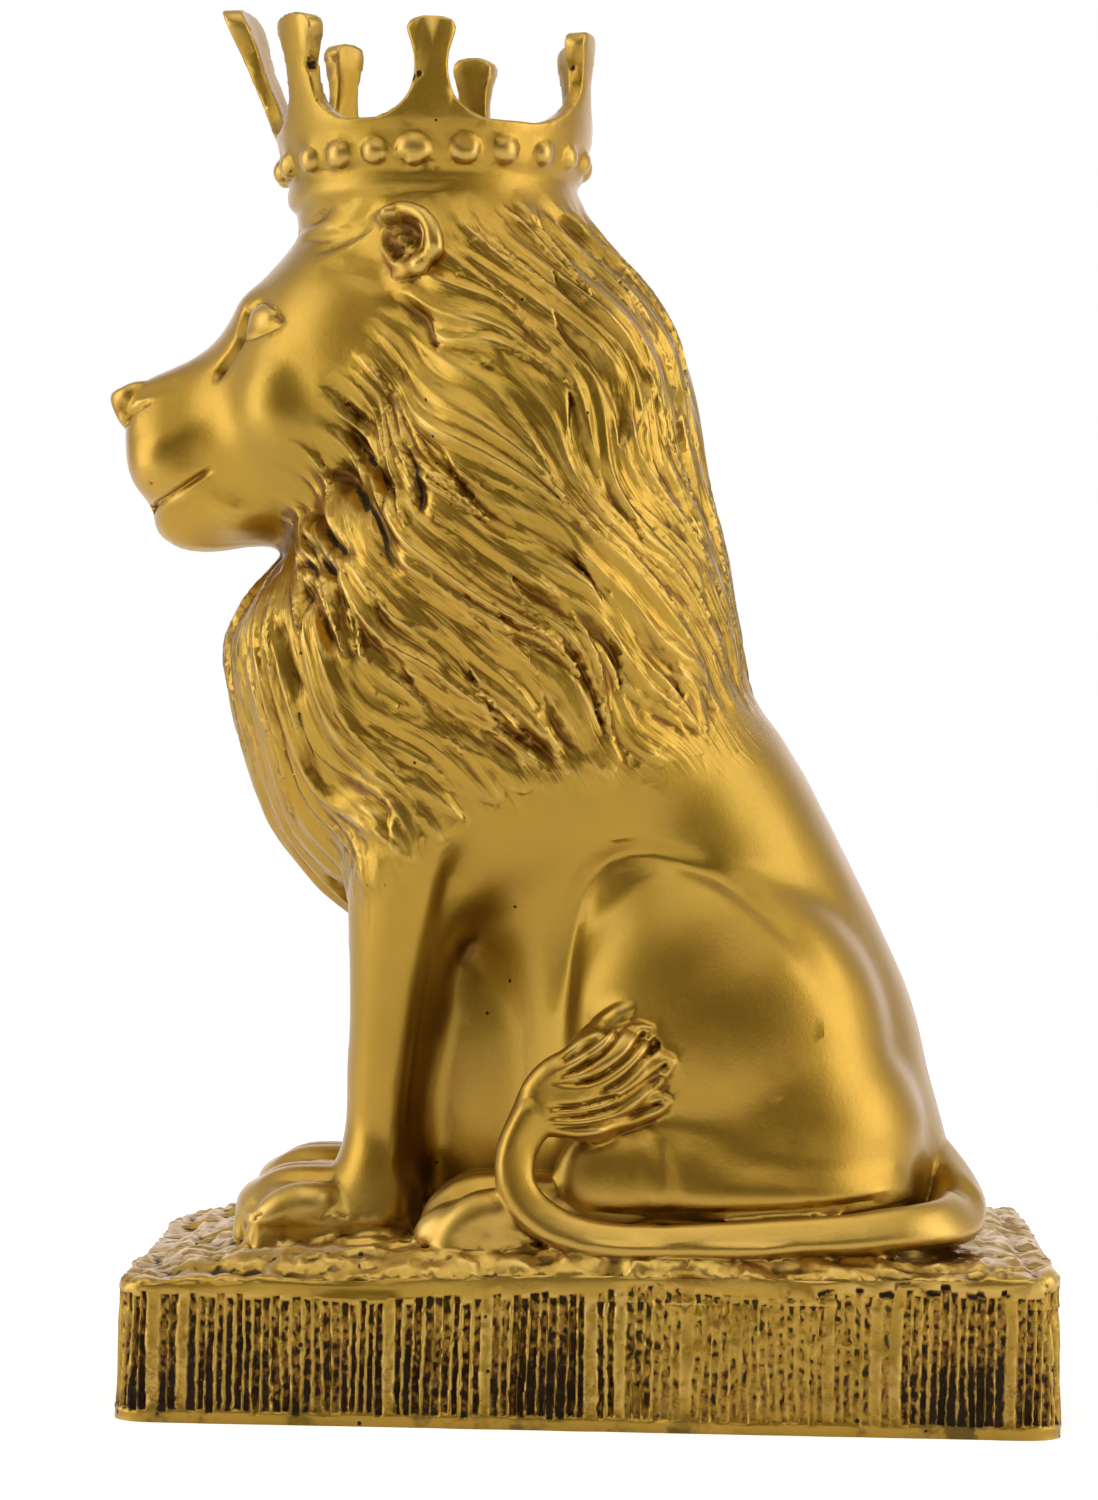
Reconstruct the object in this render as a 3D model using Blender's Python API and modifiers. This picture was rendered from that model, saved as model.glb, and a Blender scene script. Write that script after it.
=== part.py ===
"""Seated lion wearing a crown, cast in one piece with its rough plinth.

The lion faces -Y, +Z is up, and the origin lies under the middle of the whole casting.
The forms are written in millimetres, lengthwise from the middle of the plinth.
"""

import math

import bmesh
import bpy
import numpy as np
from mathutils import Euler, Matrix, Vector
from mathutils.kdtree import KDTree

MM = 0.001

# Driving dimensions, in millimetres
PLINTH_LENGTH = 237.0
PLINTH_WIDTH = 151.0
PLINTH_WALL = 37.0
PLINTH_TOP = 45.0
PLINTH_RISE = 5.0
NOSE_REACH = 132.0
CROWN_CENTRE = (0.0, -47.0)
CROWN_FOOT = 309.0
CROWN_RADIUS = 39.0
CROWN_WALL = 4.2
CROWN_RIM = 331.0
BEADS = 22

# How far the casting moves so that its origin is under the middle of its box
ORIGIN_SHIFT = (NOSE_REACH - PLINTH_LENGTH / 2) / 2

# Plinth's flutes, in millimetres
FLUTE_PITCH = 6.0
FLUTE_DEPTH = 1.5

# Spikes of the crown: degrees round from +X, height of the tip and how far the tip leans out
SPIKE_PLACES = [
    (2.5, 355, 1.0),
    (63, 356, 0.8),
    (113, 357, 0.0),
    (170, 357.5, 0.5),
    (-142, 359.5, 1.0),
    (-97, 364, 13.0),
    (-53, 358, 4.0),
]

# Share of a spike's height and its half width there
SPIKE_OUTLINE = [
    (0.0, 19.0), (0.09, 12.5), (0.22, 8.6), (0.42, 5.6), (0.66, 4.5), (0.88, 6.2), (1.0, 5.6),
]

# Mesh fineness, in millimetres and faces
BROAD_VOXEL = 2.0
FINE_VOXEL = 1.3
FIGURE_FACES = 6300
RING_POINTS = 40

# Grid of the mane's map, one cell a millimetre, and its lowest height
MAP_SIZE = (159, 205)
MAP_FLOOR = 112

SIDES = (1, -1)


# Lists of named masses

# Height, front, back, half width and squareness of level slices of the trunk
TRUNK = [
    (38, -24, 90, 40, 2.6),
    (50, -27, 95, 45, 2.6),
    (66, -28, 93, 47, 2.6),
    (84, -29, 88, 46, 2.6),
    (104, -32, 83.5, 44, 2.5),
    (124, -38, 76, 43, 2.4),
    (144, -52, 65.5, 44, 2.3),
    (164, -70, 53, 46, 2.2),
    (184, -84, 41, 47, 2.1),
    (204, -80, 35, 46, 2.0),
    (222, -70, 28, 42, 2.0),
]

# The same for the mane and the back of the head
MANE = [
    (118, -60, 10, 22, 2.0),
    (126, -69.5, 40, 33, 2.1),
    (136, -78, 52, 42, 2.2),
    (148, -86, 57, 47, 2.2),
    (162, -91.5, 51, 51, 2.2),
    (176, -95.5, 43.5, 53.5, 2.2),
    (188, -98, 38.5, 55, 2.2),
    (198, -97.5, 35.5, 56, 2.2),
    (208, -91.5, 33, 56.5, 2.2),
    (218, -85.5, 30.5, 57.5, 2.2),
    (230, -79, 27, 57, 2.2),
    (242, -72, 25, 56, 2.2),
    (254, -66, 23, 54.5, 2.2),
    (266, -62, 20.5, 52, 2.2),
    (276, -62, 18, 49.5, 2.1),
    (286, -68, 12.5, 46.5, 2.1),
    (296, -78, 4.5, 43, 2.0),
    (304, -82, -3.5, 40, 2.0),
    (312, -84, -7, 38, 2.0),
    (319, -84, -9, 37, 2.0),
]

# Distance forward, underside, top, half width and squareness of slices of the head
HEAD = [
    (-129, 243, 260.5, 7.5, 2.3),
    (-126.5, 237, 263, 11, 2.3),
    (-122, 232.5, 265.5, 13.5, 2.3),
    (-116, 229.5, 268.0, 15.5, 2.3),
    (-110, 228.5, 270.8, 16.5, 2.2),
    (-104, 227.5, 275.5, 18, 2.2),
    (-99, 226.5, 283.0, 20.5, 2.2),
    (-94, 225.5, 289.0, 24.5, 2.2),
    (-88, 224.5, 295.5, 29, 2.2),
    (-80, 223, 304.5, 34, 2.2),
    (-70, 222, 312.0, 38, 2.2),
    (-58, 222, 316.0, 40.5, 2.1),
    (-46, 226, 316.0, 41, 2.0),
    (-30, 232, 312.0, 40, 2.0),
]

# Broad masses on each side: middle, radii and turn in degrees about X, Y and Z
BROAD = [
    ((27, 34, 90), (33.5, 43, 49), (6, 0, 0)),
    ((27, 46, 70), (34, 40, 34), (0, 0, 0)),
    ((26, 28, 62), (37, 42, 24), (0, 0, 0)),
    ((27, -44, 150), (24, 24, 30), (0, 0, 0)),
    ((20, -77, 256), (15, 18, 20), (0, 0, 12)),
    ((8, -91, 282), (9, 8, 6), (-35, 0, 0)),
    ((26, -75, 46.5), (18.5, 19, 11.5), (-8, 0, 0)),
    ((53, 4, 58), (9, 15, 17), (0, 0, 0)),
]

# Foreleg on each side: x, y, z, radius across and radius fore and aft
FORELEG = [
    (33, -40, 168, 19, 24),
    (33, -43, 142, 18.5, 22),
    (31, -45.4, 118, 16, 18.5),
    (29, -48.8, 98, 13.5, 15),
    (27.5, -51.6, 82, 11.8, 12.6),
    (26.5, -53.4, 68, 11.4, 11.2),
    (26, -55.2, 56, 13.0, 12.0),
    (26, -57, 44, 14.5, 13.0),
]

# Tail: x, y, z and radius, from the rump round the near flank
TAIL = [
    (0, 80, 66, 9),
    (16, 89, 58, 8),
    (34, 94, 52.5, 6.8),
    (50, 91, 49.5, 6.2),
    (60, 80, 48.5, 5.8),
    (65, 58, 48, 5.4),
    (67, 30, 47.8, 5.2),
    (67, 6, 48.8, 5.2),
    (66.5, -9, 52, 5.2),
    (65.5, -16.5, 60, 5.0),
    (64, -17, 70, 5.0),
    (62, -13, 79, 5.6),
]

# Where the strands of the tail's tuft end: x, y, z and greatest radius
TUFT_TIPS = [
    (58.5, 10, 103, 5.6),
    (61, 17, 98, 6.0),
    (62.5, 19.5, 89, 6.2),
    (63, 19, 79, 6.0),
]

# Lines cut into the near side, each mirrored: name, depth, width and points in x, y, z
LINES = [
    ("mouth", 1.7, 1.5, [(1.5, -120, 230), (5, -118.6, 229.6), (11, -113.3, 231.6), (14, -106, 235.5),
                         (18, -98, 238.5)]),
    ("lip", 1.2, 1.6, [(0, -128.5, 250), (0, -127, 240), (0, -121, 231)]),
    ("nostril", 1.8, 1.7, [(3, -130, 256), (8, -128, 254.6), (11, -124.2, 256), (14.5, -114.5, 258.8)]),
    ("upper lid", 1.4, 1.1, [(17, -98.5, 275), (14.5, -98.2, 280), (18.4, -95.5, 283), (24, -89.5, 282),
                             (30.5, -83, 276.8)]),
    ("lower lid", 1.2, 1.0, [(17, -98.5, 275), (23, -91.5, 275), (30.5, -83, 276.8)]),
    ("tear", 1.5, 1.6, [(18, -98, 275), (17.5, -100, 270), (15.5, -103, 265)]),
    ("haunch", 2.6, 4.0, [(45, -6, 92), (45, -5.5, 104), (46, -4, 120), (45, 1.5, 133), (44, 11, 140),
                          (43.5, 22, 138), (43, 33, 133), (42, 43, 128)]),
    ("elbow", 2.2, 3.4, [(46, -29, 140), (44, -29, 128), (40, -31, 116), (36, -34, 104)]),
    ("shoulder", 1.2, 4.0, [(47, -34, 150), (44, -60, 128)]),
]

# Middle of the mane's turning, and its flow on one side: every guide runs from the hairline to the
# lower edge, in degrees round from the front and height
MANE_MIDDLE = -30.0
MANE_GIRTH = 50.0
GUIDES = [
    [(0, 223), (0, 206), (0, 188), (0, 164), (0, 140), (0, 117)],
    [(6, 223), (11, 209), (14, 194), (17, 180), (20, 166), (20, 153), (17, 138), (10, 118)],
    [(13, 225), (27, 211), (35, 195), (40, 182), (46, 170), (53, 158), (60, 147), (64, 133)],
    [(23, 233), (28, 222), (41, 211), (51, 198), (58, 187), (66, 175), (78, 163), (91, 151)],
    [(34, 245), (40, 232), (55, 219), (67, 209), (75, 198), (83, 186), (95, 176), (108, 167), (118, 158)],
    [(43, 260), (57, 245), (69, 231), (77, 219), (87, 208), (99, 200), (111, 194), (121, 186), (129, 174),
     (136, 162)],
    [(50, 274), (66, 264), (82, 250), (94, 238), (104, 228), (115, 220), (127, 214), (137, 206), (145, 194),
     (150, 180), (153, 168)],
    [(59, 288), (77, 285), (92, 277), (101, 266), (106, 254), (112, 241), (121, 231), (132, 221), (143, 210),
     (151, 197), (157, 184), (161, 173)],
    [(74, 307), (88, 294), (102, 282), (112, 269), (119, 255), (127, 241), (137, 227), (147, 213), (155, 199),
     (161, 186), (165, 174)],
    [(98, 309), (114, 297), (126, 283), (135, 268), (142, 253), (149, 238), (155, 223), (161, 208), (166, 194),
     (170, 180), (172, 172)],
    [(136, 310), (145, 299), (152, 284), (157, 268), (162, 250), (166, 232), (170, 214), (173, 196), (175, 182),
     (176, 170)],
    [(180, 311), (180, 296), (180, 270), (180, 240), (180, 208), (180, 184), (180, 168)],
]

# Width, length, rise and lean of each layer of locks
LOCKS = [(12.5, 54, 3.3, 0.5), (17.0, 76, 2.6, -0.4)]


# Shape tools

def smooth_path(stations, per_span):
    """Catmull-Rom curve through the stations, every column interpolated alike."""
    rows = np.array(stations, float)
    padded = np.vstack([2 * rows[0] - rows[1], rows, 2 * rows[-1] - rows[-2]])
    made = []
    for i in range(1, len(padded) - 2):
        p0, p1, p2, p3 = padded[i - 1:i + 3]
        for t in np.arange(per_span) / per_span:
            made.append(0.5 * (2 * p1 + (p2 - p0) * t + (2 * p0 - 5 * p1 + 4 * p2 - p3) * t ** 2
                               + (3 * p1 - p0 - 3 * p2 + p3) * t ** 3))
    made.append(rows[-1])
    return np.array(made)


def superellipse(squareness, count=RING_POINTS):
    """Unit outline from round, at 2, to nearly square, as cosine-like and sine-like columns."""
    angle = np.arange(count) * 2 * math.pi / count
    c, s = np.cos(angle), np.sin(angle)
    power = 2 / squareness
    return np.sign(c) * np.abs(c) ** power, np.sign(s) * np.abs(s) ** power


def add_loft(bm, rings):
    """Closed skin over rings of points, in millimetres, with flat ends."""
    loops = [[bm.verts.new(Vector(p) * MM) for p in ring] for ring in rings]
    count = len(loops[0])
    faces = []
    for low, high in zip(loops, loops[1:]):
        for i in range(count):
            j = (i + 1) % count
            faces.append(bm.faces.new((low[i], low[j], high[j], high[i])))
    faces.append(bm.faces.new(loops[0][::-1]))
    faces.append(bm.faces.new(loops[-1]))
    bmesh.ops.recalc_face_normals(bm, faces=faces)


def add_level_slices(bm, slices):
    """Trunk-like form: each slice is level, given by height, front, back, half width and squareness."""
    rings = []
    for z, front, back, half, square in smooth_path(slices, 4):
        c, s = superellipse(square)
        middle, reach = (front + back) / 2, (back - front) / 2
        rings.append(np.stack([half * c, middle + reach * s, np.full(len(c), z)], 1))
    add_loft(bm, rings)


def add_upright_slices(bm, slices):
    """Head-like form: each slice is upright and crosswise, given by y, underside, top, half width and squareness."""
    rings = []
    for y, low, high, half, square in smooth_path(slices, 4):
        c, s = superellipse(square)
        rings.append(np.stack([half * c, np.full(len(c), y), (low + high) / 2 + (high - low) / 2 * s], 1))
    add_loft(bm, rings)


def add_limb(bm, stations, across=(1, 0, 0)):
    """Tapered round limb along a path of x, y, z and one or two radii; across is the first radius's direction."""
    path = smooth_path(stations, 5)
    points, radii = path[:, :3], path[:, 3:]
    along = np.gradient(points, axis=0)
    along /= np.linalg.norm(along, axis=1)[:, None]
    angle = np.arange(RING_POINTS) * 2 * math.pi / RING_POINTS
    rings = []
    for middle, way, size in zip(points, along, radii):
        side = np.array(across, float)
        side -= way * (side @ way)
        side /= np.linalg.norm(side)
        other = np.cross(way, side)
        rings.append(middle + size[0] * np.cos(angle)[:, None] * side + size[-1] * np.sin(angle)[:, None] * other)
    for ring, size, way in ((rings[0], radii[0], -along[0]), (rings[-1], radii[-1], along[-1])):
        middle = ring.mean(0)
        dome = [middle + (ring - middle) * math.cos(t) + way * size.min() * math.sin(t) for t in (0.5, 0.95, 1.3)]
        rings = dome[::-1] + rings if ring is rings[0] else rings + dome
    add_loft(bm, rings)


def add_ellipsoid(bm, middle, radii, turn=(0, 0, 0)):
    """Ellipsoid in millimetres, turned by degrees about X, Y and Z."""
    matrix = Matrix.LocRotScale(Vector(middle) * MM, Euler([math.radians(a) for a in turn]), Vector(radii) * MM)
    bmesh.ops.create_icosphere(bm, subdivisions=4, radius=1, matrix=matrix)


def mirrored(side, middle, turn=(0, 0, 0)):
    """A place and a turn of the near side, moved to the given side."""
    return (side * middle[0], *middle[1:]), (turn[0], side * turn[1], side * turn[2])


def object_from(bm, name, collection):
    mesh = bpy.data.meshes.new(name)
    bm.to_mesh(mesh)
    bm.free()
    made = bpy.data.objects.new(name, mesh)
    collection.objects.link(made)
    return made


def evaluated_mesh(obj):
    """The object's mesh with its modifiers, as a new mesh, and the object removed."""
    graph = bpy.context.evaluated_depsgraph_get()
    made = bpy.data.meshes.new_from_object(obj.evaluated_get(graph))
    made.name = obj.name
    bpy.data.objects.remove(obj)
    return made


def fused(bm, name, collection, voxel, smoothing):
    """One skin over all the masses in bm: a voxel Remesh, then a Smooth."""
    made = object_from(bm, name, collection)
    remesh = made.modifiers.new("One skin", "REMESH")
    remesh.mode = "VOXEL"
    remesh.voxel_size = voxel * MM
    if smoothing:
        smooth = made.modifiers.new("Melt joints", "SMOOTH")
        smooth.factor = 0.5
        smooth.iterations = smoothing
    return evaluated_mesh(made)


# Relief tools

def scatter(i, j=0):
    """A fixed number from 0 to 1 for each pair of whole numbers."""
    value = np.sin(np.asarray(i) * 12.9898 + np.asarray(j) * 78.233) * 43758.5453
    return value - np.floor(value)


def soft_noise(points, size, seed=0):
    """Smooth noise from -1 to 1 with features of the given size, in millimetres or one size an axis."""
    place = points / size + seed * 17.3
    cell = np.floor(place)
    part = place - cell
    part = part * part * (3 - 2 * part)
    total = 0
    for corner in np.ndindex(2, 2, 2):
        near = cell + corner
        weight = np.prod(np.where(corner, part, 1 - part), axis=1)
        total = total + weight * scatter(near[:, 0] + 57 * near[:, 1], near[:, 2])
    return 2 * total - 1


def smooth_step(low, high, value):
    t = np.clip((value - low) / (high - low), 0, 1)
    return t * t * (3 - 2 * t)


def line_weight(points, line, width):
    """Weight from 1 on the line to 0 beside it."""
    path = smooth_path(line, 6)
    nearest = np.full(len(points), 1e9)
    reach = 3 * width
    close = np.all((points > path.min(0) - reach) & (points < path.max(0) + reach), axis=1)
    chosen = points[close]
    best = nearest[close]
    for start, end in zip(path, path[1:]):
        way = end - start
        t = np.clip((chosen - start) @ way / (way @ way), 0, 1)
        gap = chosen - start - t[:, None] * way
        best = np.minimum(best, (gap * gap).sum(1))
    nearest[close] = best
    return np.exp(-nearest / width ** 2)


def mane_map():
    """Grid over one side of the mane, in girth and height: place across and along the hair, hair left below
    and distance outside the mane."""
    steps = 120
    runs = []
    for guide in GUIDES:
        path = smooth_path(guide, 8)
        flat = np.stack([np.radians(path[:, 0]) * MANE_GIRTH, path[:, 1]], 1)
        run = np.concatenate([[0], np.cumsum(np.linalg.norm(np.diff(flat, axis=0), axis=1))])
        t = np.linspace(0, run[-1], steps)
        runs.append(np.stack([np.interp(t, run, flat[:, 0]), np.interp(t, run, flat[:, 1]), t, run[-1] - t]))
    sheet = smooth_path(np.array(runs).reshape(len(runs), -1), 20).reshape(-1, 4, steps)
    gaps = np.linalg.norm(np.diff(sheet[:, :2], axis=0), axis=1).mean(1)
    across = np.concatenate([[0], np.cumsum(gaps)])
    place = np.stack([sheet[:, 0].ravel(), sheet[:, 1].ravel()], 1)
    value = np.stack([np.repeat(across, steps), sheet[:, 2].ravel(), sheet[:, 3].ravel()], 1)
    tree = KDTree(len(place))
    for i, (girth, height) in enumerate(place):
        tree.insert((girth, height, 0), i)
    tree.balance()
    grid = np.zeros((MAP_SIZE[0], MAP_SIZE[1], 4))
    for i in range(MAP_SIZE[0]):
        for j in range(MAP_SIZE[1]):
            found = tree.find_n((i, MAP_FLOOR + j, 0), 4)
            weight = np.array([1 / (gap + 0.05) for _, _, gap in found])
            near = value[[index for _, index, _ in found]]
            grid[i, j, :3] = weight @ near / weight.sum()
            grid[i, j, 3] = found[0][2]
    return grid


def read_map(grid, girth, height):
    """Values of the grid at any place, by straight interpolation."""
    a = np.clip(girth, 0, MAP_SIZE[0] - 1.001)
    b = np.clip(height - MAP_FLOOR, 0, MAP_SIZE[1] - 1.001)
    i, j = a.astype(int), b.astype(int)
    p, q = (a - i)[:, None], (b - j)[:, None]
    return ((grid[i, j] * (1 - p) + grid[i + 1, j] * p) * (1 - q)
            + (grid[i, j + 1] * (1 - p) + grid[i + 1, j + 1] * p) * q)


def lock_height(across, along, left, seed):
    """Height of overlapping pointed locks at a place across and along the hair."""
    bend = across + 2.2 * np.sin(along / 17 + across / 23 + seed)
    height = np.zeros(len(across))
    for k, (width, length, rise, lean) in enumerate(LOCKS):
        column = np.floor(bend / width)
        for side in (-1, 0, 1):
            row_of = column + side
            middle = (row_of + 0.5 + 0.3 * (scatter(row_of, seed + k) - 0.5)) * width
            shift = scatter(row_of, seed + k + 9) * length
            turn = (along + shift) / length
            for back in (0, 1):
                part = (turn - np.floor(turn) + back) / 1.45
                spread = width * 0.72 * np.clip(part * 3.5, 0.25, 1) * np.clip((1 - part) * 2.2, 0, 1) ** 0.7
                spread = spread * np.clip((left - 12 * scatter(row_of, seed + k + 4)) / 15, 0, 1) ** 0.6
                off = (bend - middle - lean * width * (part - 0.5)) / np.maximum(spread, 0.01)
                body = np.sqrt(np.clip(1 - off * off, 0, 1))
                height = np.maximum(height, rise * body * (0.4 + 0.6 * np.clip(part * 1.6, 0, 1)))
    return height


# The lion's forms

def add_broad_forms(bm):
    """Trunk, mane, head, haunches, shoulders, cheeks, paws and forelegs."""
    add_level_slices(bm, TRUNK)
    add_level_slices(bm, MANE)
    add_upright_slices(bm, HEAD)
    add_ellipsoid(bm, (0, -106, 227), (11.5, 15, 8.5))
    add_ellipsoid(bm, (0, -94, 230), (17, 16, 9.5))
    add_ellipsoid(bm, (0, -27, 84), (30, 19, 52))
    for side in SIDES:
        for middle, radii, turn in BROAD:
            place, turned = mirrored(side, middle, turn)
            add_ellipsoid(bm, place, radii, turned)
        add_limb(bm, [(side * x, y, z, rx, ry) for x, y, z, rx, ry in FORELEG])


def add_paw(bm, side, middle, heel, tips, height, spread):
    """Four toes side by side, each a limb that runs forward and bends down at its tip."""
    for k, tip in enumerate(tips):
        step = k - 1.5
        x = side * (middle + step * spread)
        outer = abs(step) > 1
        top = height - (3.0 if outer else 0)
        radius = 5.4 if outer else 6.0
        add_limb(bm, [
            (side * middle + (x - side * middle) * 0.75, heel, top, radius),
            (x, heel + (tip - heel) * 0.4, top, radius + 0.2),
            (x, heel + (tip - heel) * 0.72, top - 4.2, radius + 0.2),
            (x, tip + 5, PLINTH_TOP + 0.5, radius),
            (x, tip + 5, PLINTH_TOP - 6, radius),
        ])


def add_fine_forms(bm):
    """Paws, ears, eyes, nose, muzzle pads, tail and tuft."""
    add_limb(bm, TAIL)
    for x, y, z, radius in TUFT_TIPS:
        add_limb(bm, [
            (62.5, -17, 72, 3.5),
            (63.2, (y - 17) * 0.5 - 5, 76 + (z - 78) * 0.3, radius),
            (63, y * 0.5, 80 + (z - 80) * 0.6, radius + 0.4),
            (x, y - 5, z - (z - 80) * 0.12, radius * 0.75),
            (x - 1, y + 1.5, z + (z - 80) * 0.08, 1.6),
        ])
    add_ellipsoid(bm, (0, -126.8, 256.4), (7.6, 5.0, 4.6), (-16, 0, 0))
    for side in SIDES:
        add_paw(bm, side, 26, -62, (-88, -92, -92, -88), 52.8, 9.3)
        add_paw(bm, side, 50, -8, (-39, -44, -44, -39), 54.0, 8.6)
        add_ellipsoid(bm, (side * 46, -6, 50), (15, 26, 9))
        place, turn = mirrored(side, (7.8, -117.5, 242.5), (0, 0, 10))
        add_ellipsoid(bm, place, (9.0, 9.6, 11.0), turn)
        place, turn = mirrored(side, (17.2, -90, 278.8), (0, 0, 24))
        add_ellipsoid(bm, place, (6.4, 8.2, 5.0), turn)
        place, turn = mirrored(side, (39.5, -48.5, 298.5), (0, -12, -18))
        add_ellipsoid(bm, place, (6.5, 8.5, 10.5), turn)


def add_block(bm, low, high, inset, lip, corner):
    """Upright block with rounded corners, drawn in at the top and higher at the rear."""
    size = Vector((PLINTH_WIDTH - 2 * inset, PLINTH_LENGTH - 2 * inset, high - low)) * MM
    middle = Vector((0, 0, (low + high) / 2)) * MM
    block = bmesh.ops.create_cube(bm, size=1, matrix=Matrix.LocRotScale(middle, None, size))["verts"]
    for v in block:
        if v.co.z > middle.z:
            v.co.x *= 1 - lip * MM / abs(v.co.x)
            v.co.y *= 1 - lip * MM / abs(v.co.y)
            v.co.z += math.copysign(PLINTH_RISE / 2, v.co.y) * MM
    upright = {e for v in block for e in v.link_edges if abs(e.verts[0].co.z - e.verts[1].co.z) > 2 * MM}
    upright = [e for e in upright if abs(e.verts[0].co.y - e.verts[1].co.y) < 20 * MM]
    bmesh.ops.bevel(bm, geom=upright, offset=corner * MM, segments=6, profile=0.5, affect="EDGES")


def add_plinth(bm):
    """Block that runs on below the ground, its chamfered top edge, and the low mound round the lion's feet."""
    add_block(bm, -8, PLINTH_WALL - 2, 0, 0, 9)
    add_block(bm, 10, PLINTH_WALL + 2.5, 0.4, 2.6, 9)
    add_block(bm, PLINTH_WALL - 4, PLINTH_TOP - 0.5, 4, 24, 24)


def carve(mesh):
    """Move the skin's points for locks, cut lines, ear hollows, the plinth's flutes and its rough top."""
    count = len(mesh.vertices)
    points = np.empty(count * 3)
    normals = np.empty(count * 3)
    mesh.vertices.foreach_get("co", points)
    mesh.vertex_normals.foreach_get("vector", normals)
    points = points.reshape(-1, 3) / MM
    normals = normals.reshape(-1, 3)
    moves = np.zeros(count)

    grid = mane_map()
    for side in SIDES:
        half = (points[:, 0] * side >= 0) & (points[:, 2] > 112)
        x, y, z = points[half].T
        girth = np.arctan2(np.abs(x), -(y - MANE_MIDDLE)) * MANE_GIRTH
        across, along, left, outside = read_map(grid, girth, z).T
        inside = (1 - smooth_step(1.0, 2.5, outside)) * smooth_step(0, 12, along)
        moves[half] += inside * lock_height(across, along, left, side)

    for name, depth, width, line in LINES:
        for side in SIDES:
            weight = line_weight(points, [(side * x, y, z) for x, y, z in line], width)
            moves -= depth * weight * (0.5 if line[0][0] == 0 and name == "lip" else 1)

    flat = np.abs(points[:, :2]) > [PLINTH_WIDTH / 2 - 4, PLINTH_LENGTH / 2 - 4]
    wall = (flat.any(1)) & (points[:, 2] < PLINTH_WALL + 1)
    run = np.where(np.abs(normals[:, 0]) > np.abs(normals[:, 1]), points[:, 1], points[:, 0])
    run = run + 1.2 * soft_noise(points, 24, 3)
    flute = np.abs(np.sin(run * math.pi / FLUTE_PITCH)) ** 0.7
    field = smooth_step(3, 5, points[:, 2]) * (1 - smooth_step(PLINTH_WALL - 6, PLINTH_WALL - 3, points[:, 2]))
    moves -= np.where(wall, FLUTE_DEPTH * field * (1 - flute), 0)

    floor = (normals[:, 2] > 0.5) & (points[:, 2] > PLINTH_WALL - 2) & (points[:, 2] < PLINTH_TOP + 2)
    lumps = soft_noise(points, np.array([6.0, 15.0, 40.0]), 5) + 0.5 * soft_noise(points, np.array([4.0, 6.0, 40.0]), 8)
    moves += np.where(floor, 0.9 * lumps, 0)

    points += normals * moves[:, None]
    for side in SIDES:
        push_in_ear(points, side)
    mesh.vertices.foreach_set("co", (points * MM).ravel())
    mesh.update()


def push_in_ear(points, side):
    """Hollow in the ear that opens forward and sideways, inside a thick rim."""
    axis = np.array([side * 0.75, -0.62, 0.1])
    axis /= np.linalg.norm(axis)
    gap = points - np.array([side * 42.5, -52.0, 298.0])
    depth_way = gap @ axis
    across = gap - depth_way[:, None] * axis
    reach = np.sqrt((across[:, :2] ** 2).sum(1) / 4.6 ** 2 + across[:, 2] ** 2 / 6.6 ** 2)
    push = 4.5 * (1 - smooth_step(0.55, 1.05, reach)) * (np.abs(depth_way) < 9)
    points -= push[:, None] * axis


# The crown and the finished casting

def add_union(obj, other):
    """Union of another object, which may overlap itself, with the first."""
    union = obj.modifiers.new(other.name, "BOOLEAN")
    union.operation = "UNION"
    union.solver = "EXACT"
    union.use_self = True
    union.object = other
    other.hide_render = True
    other.display_type = "WIRE"


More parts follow.
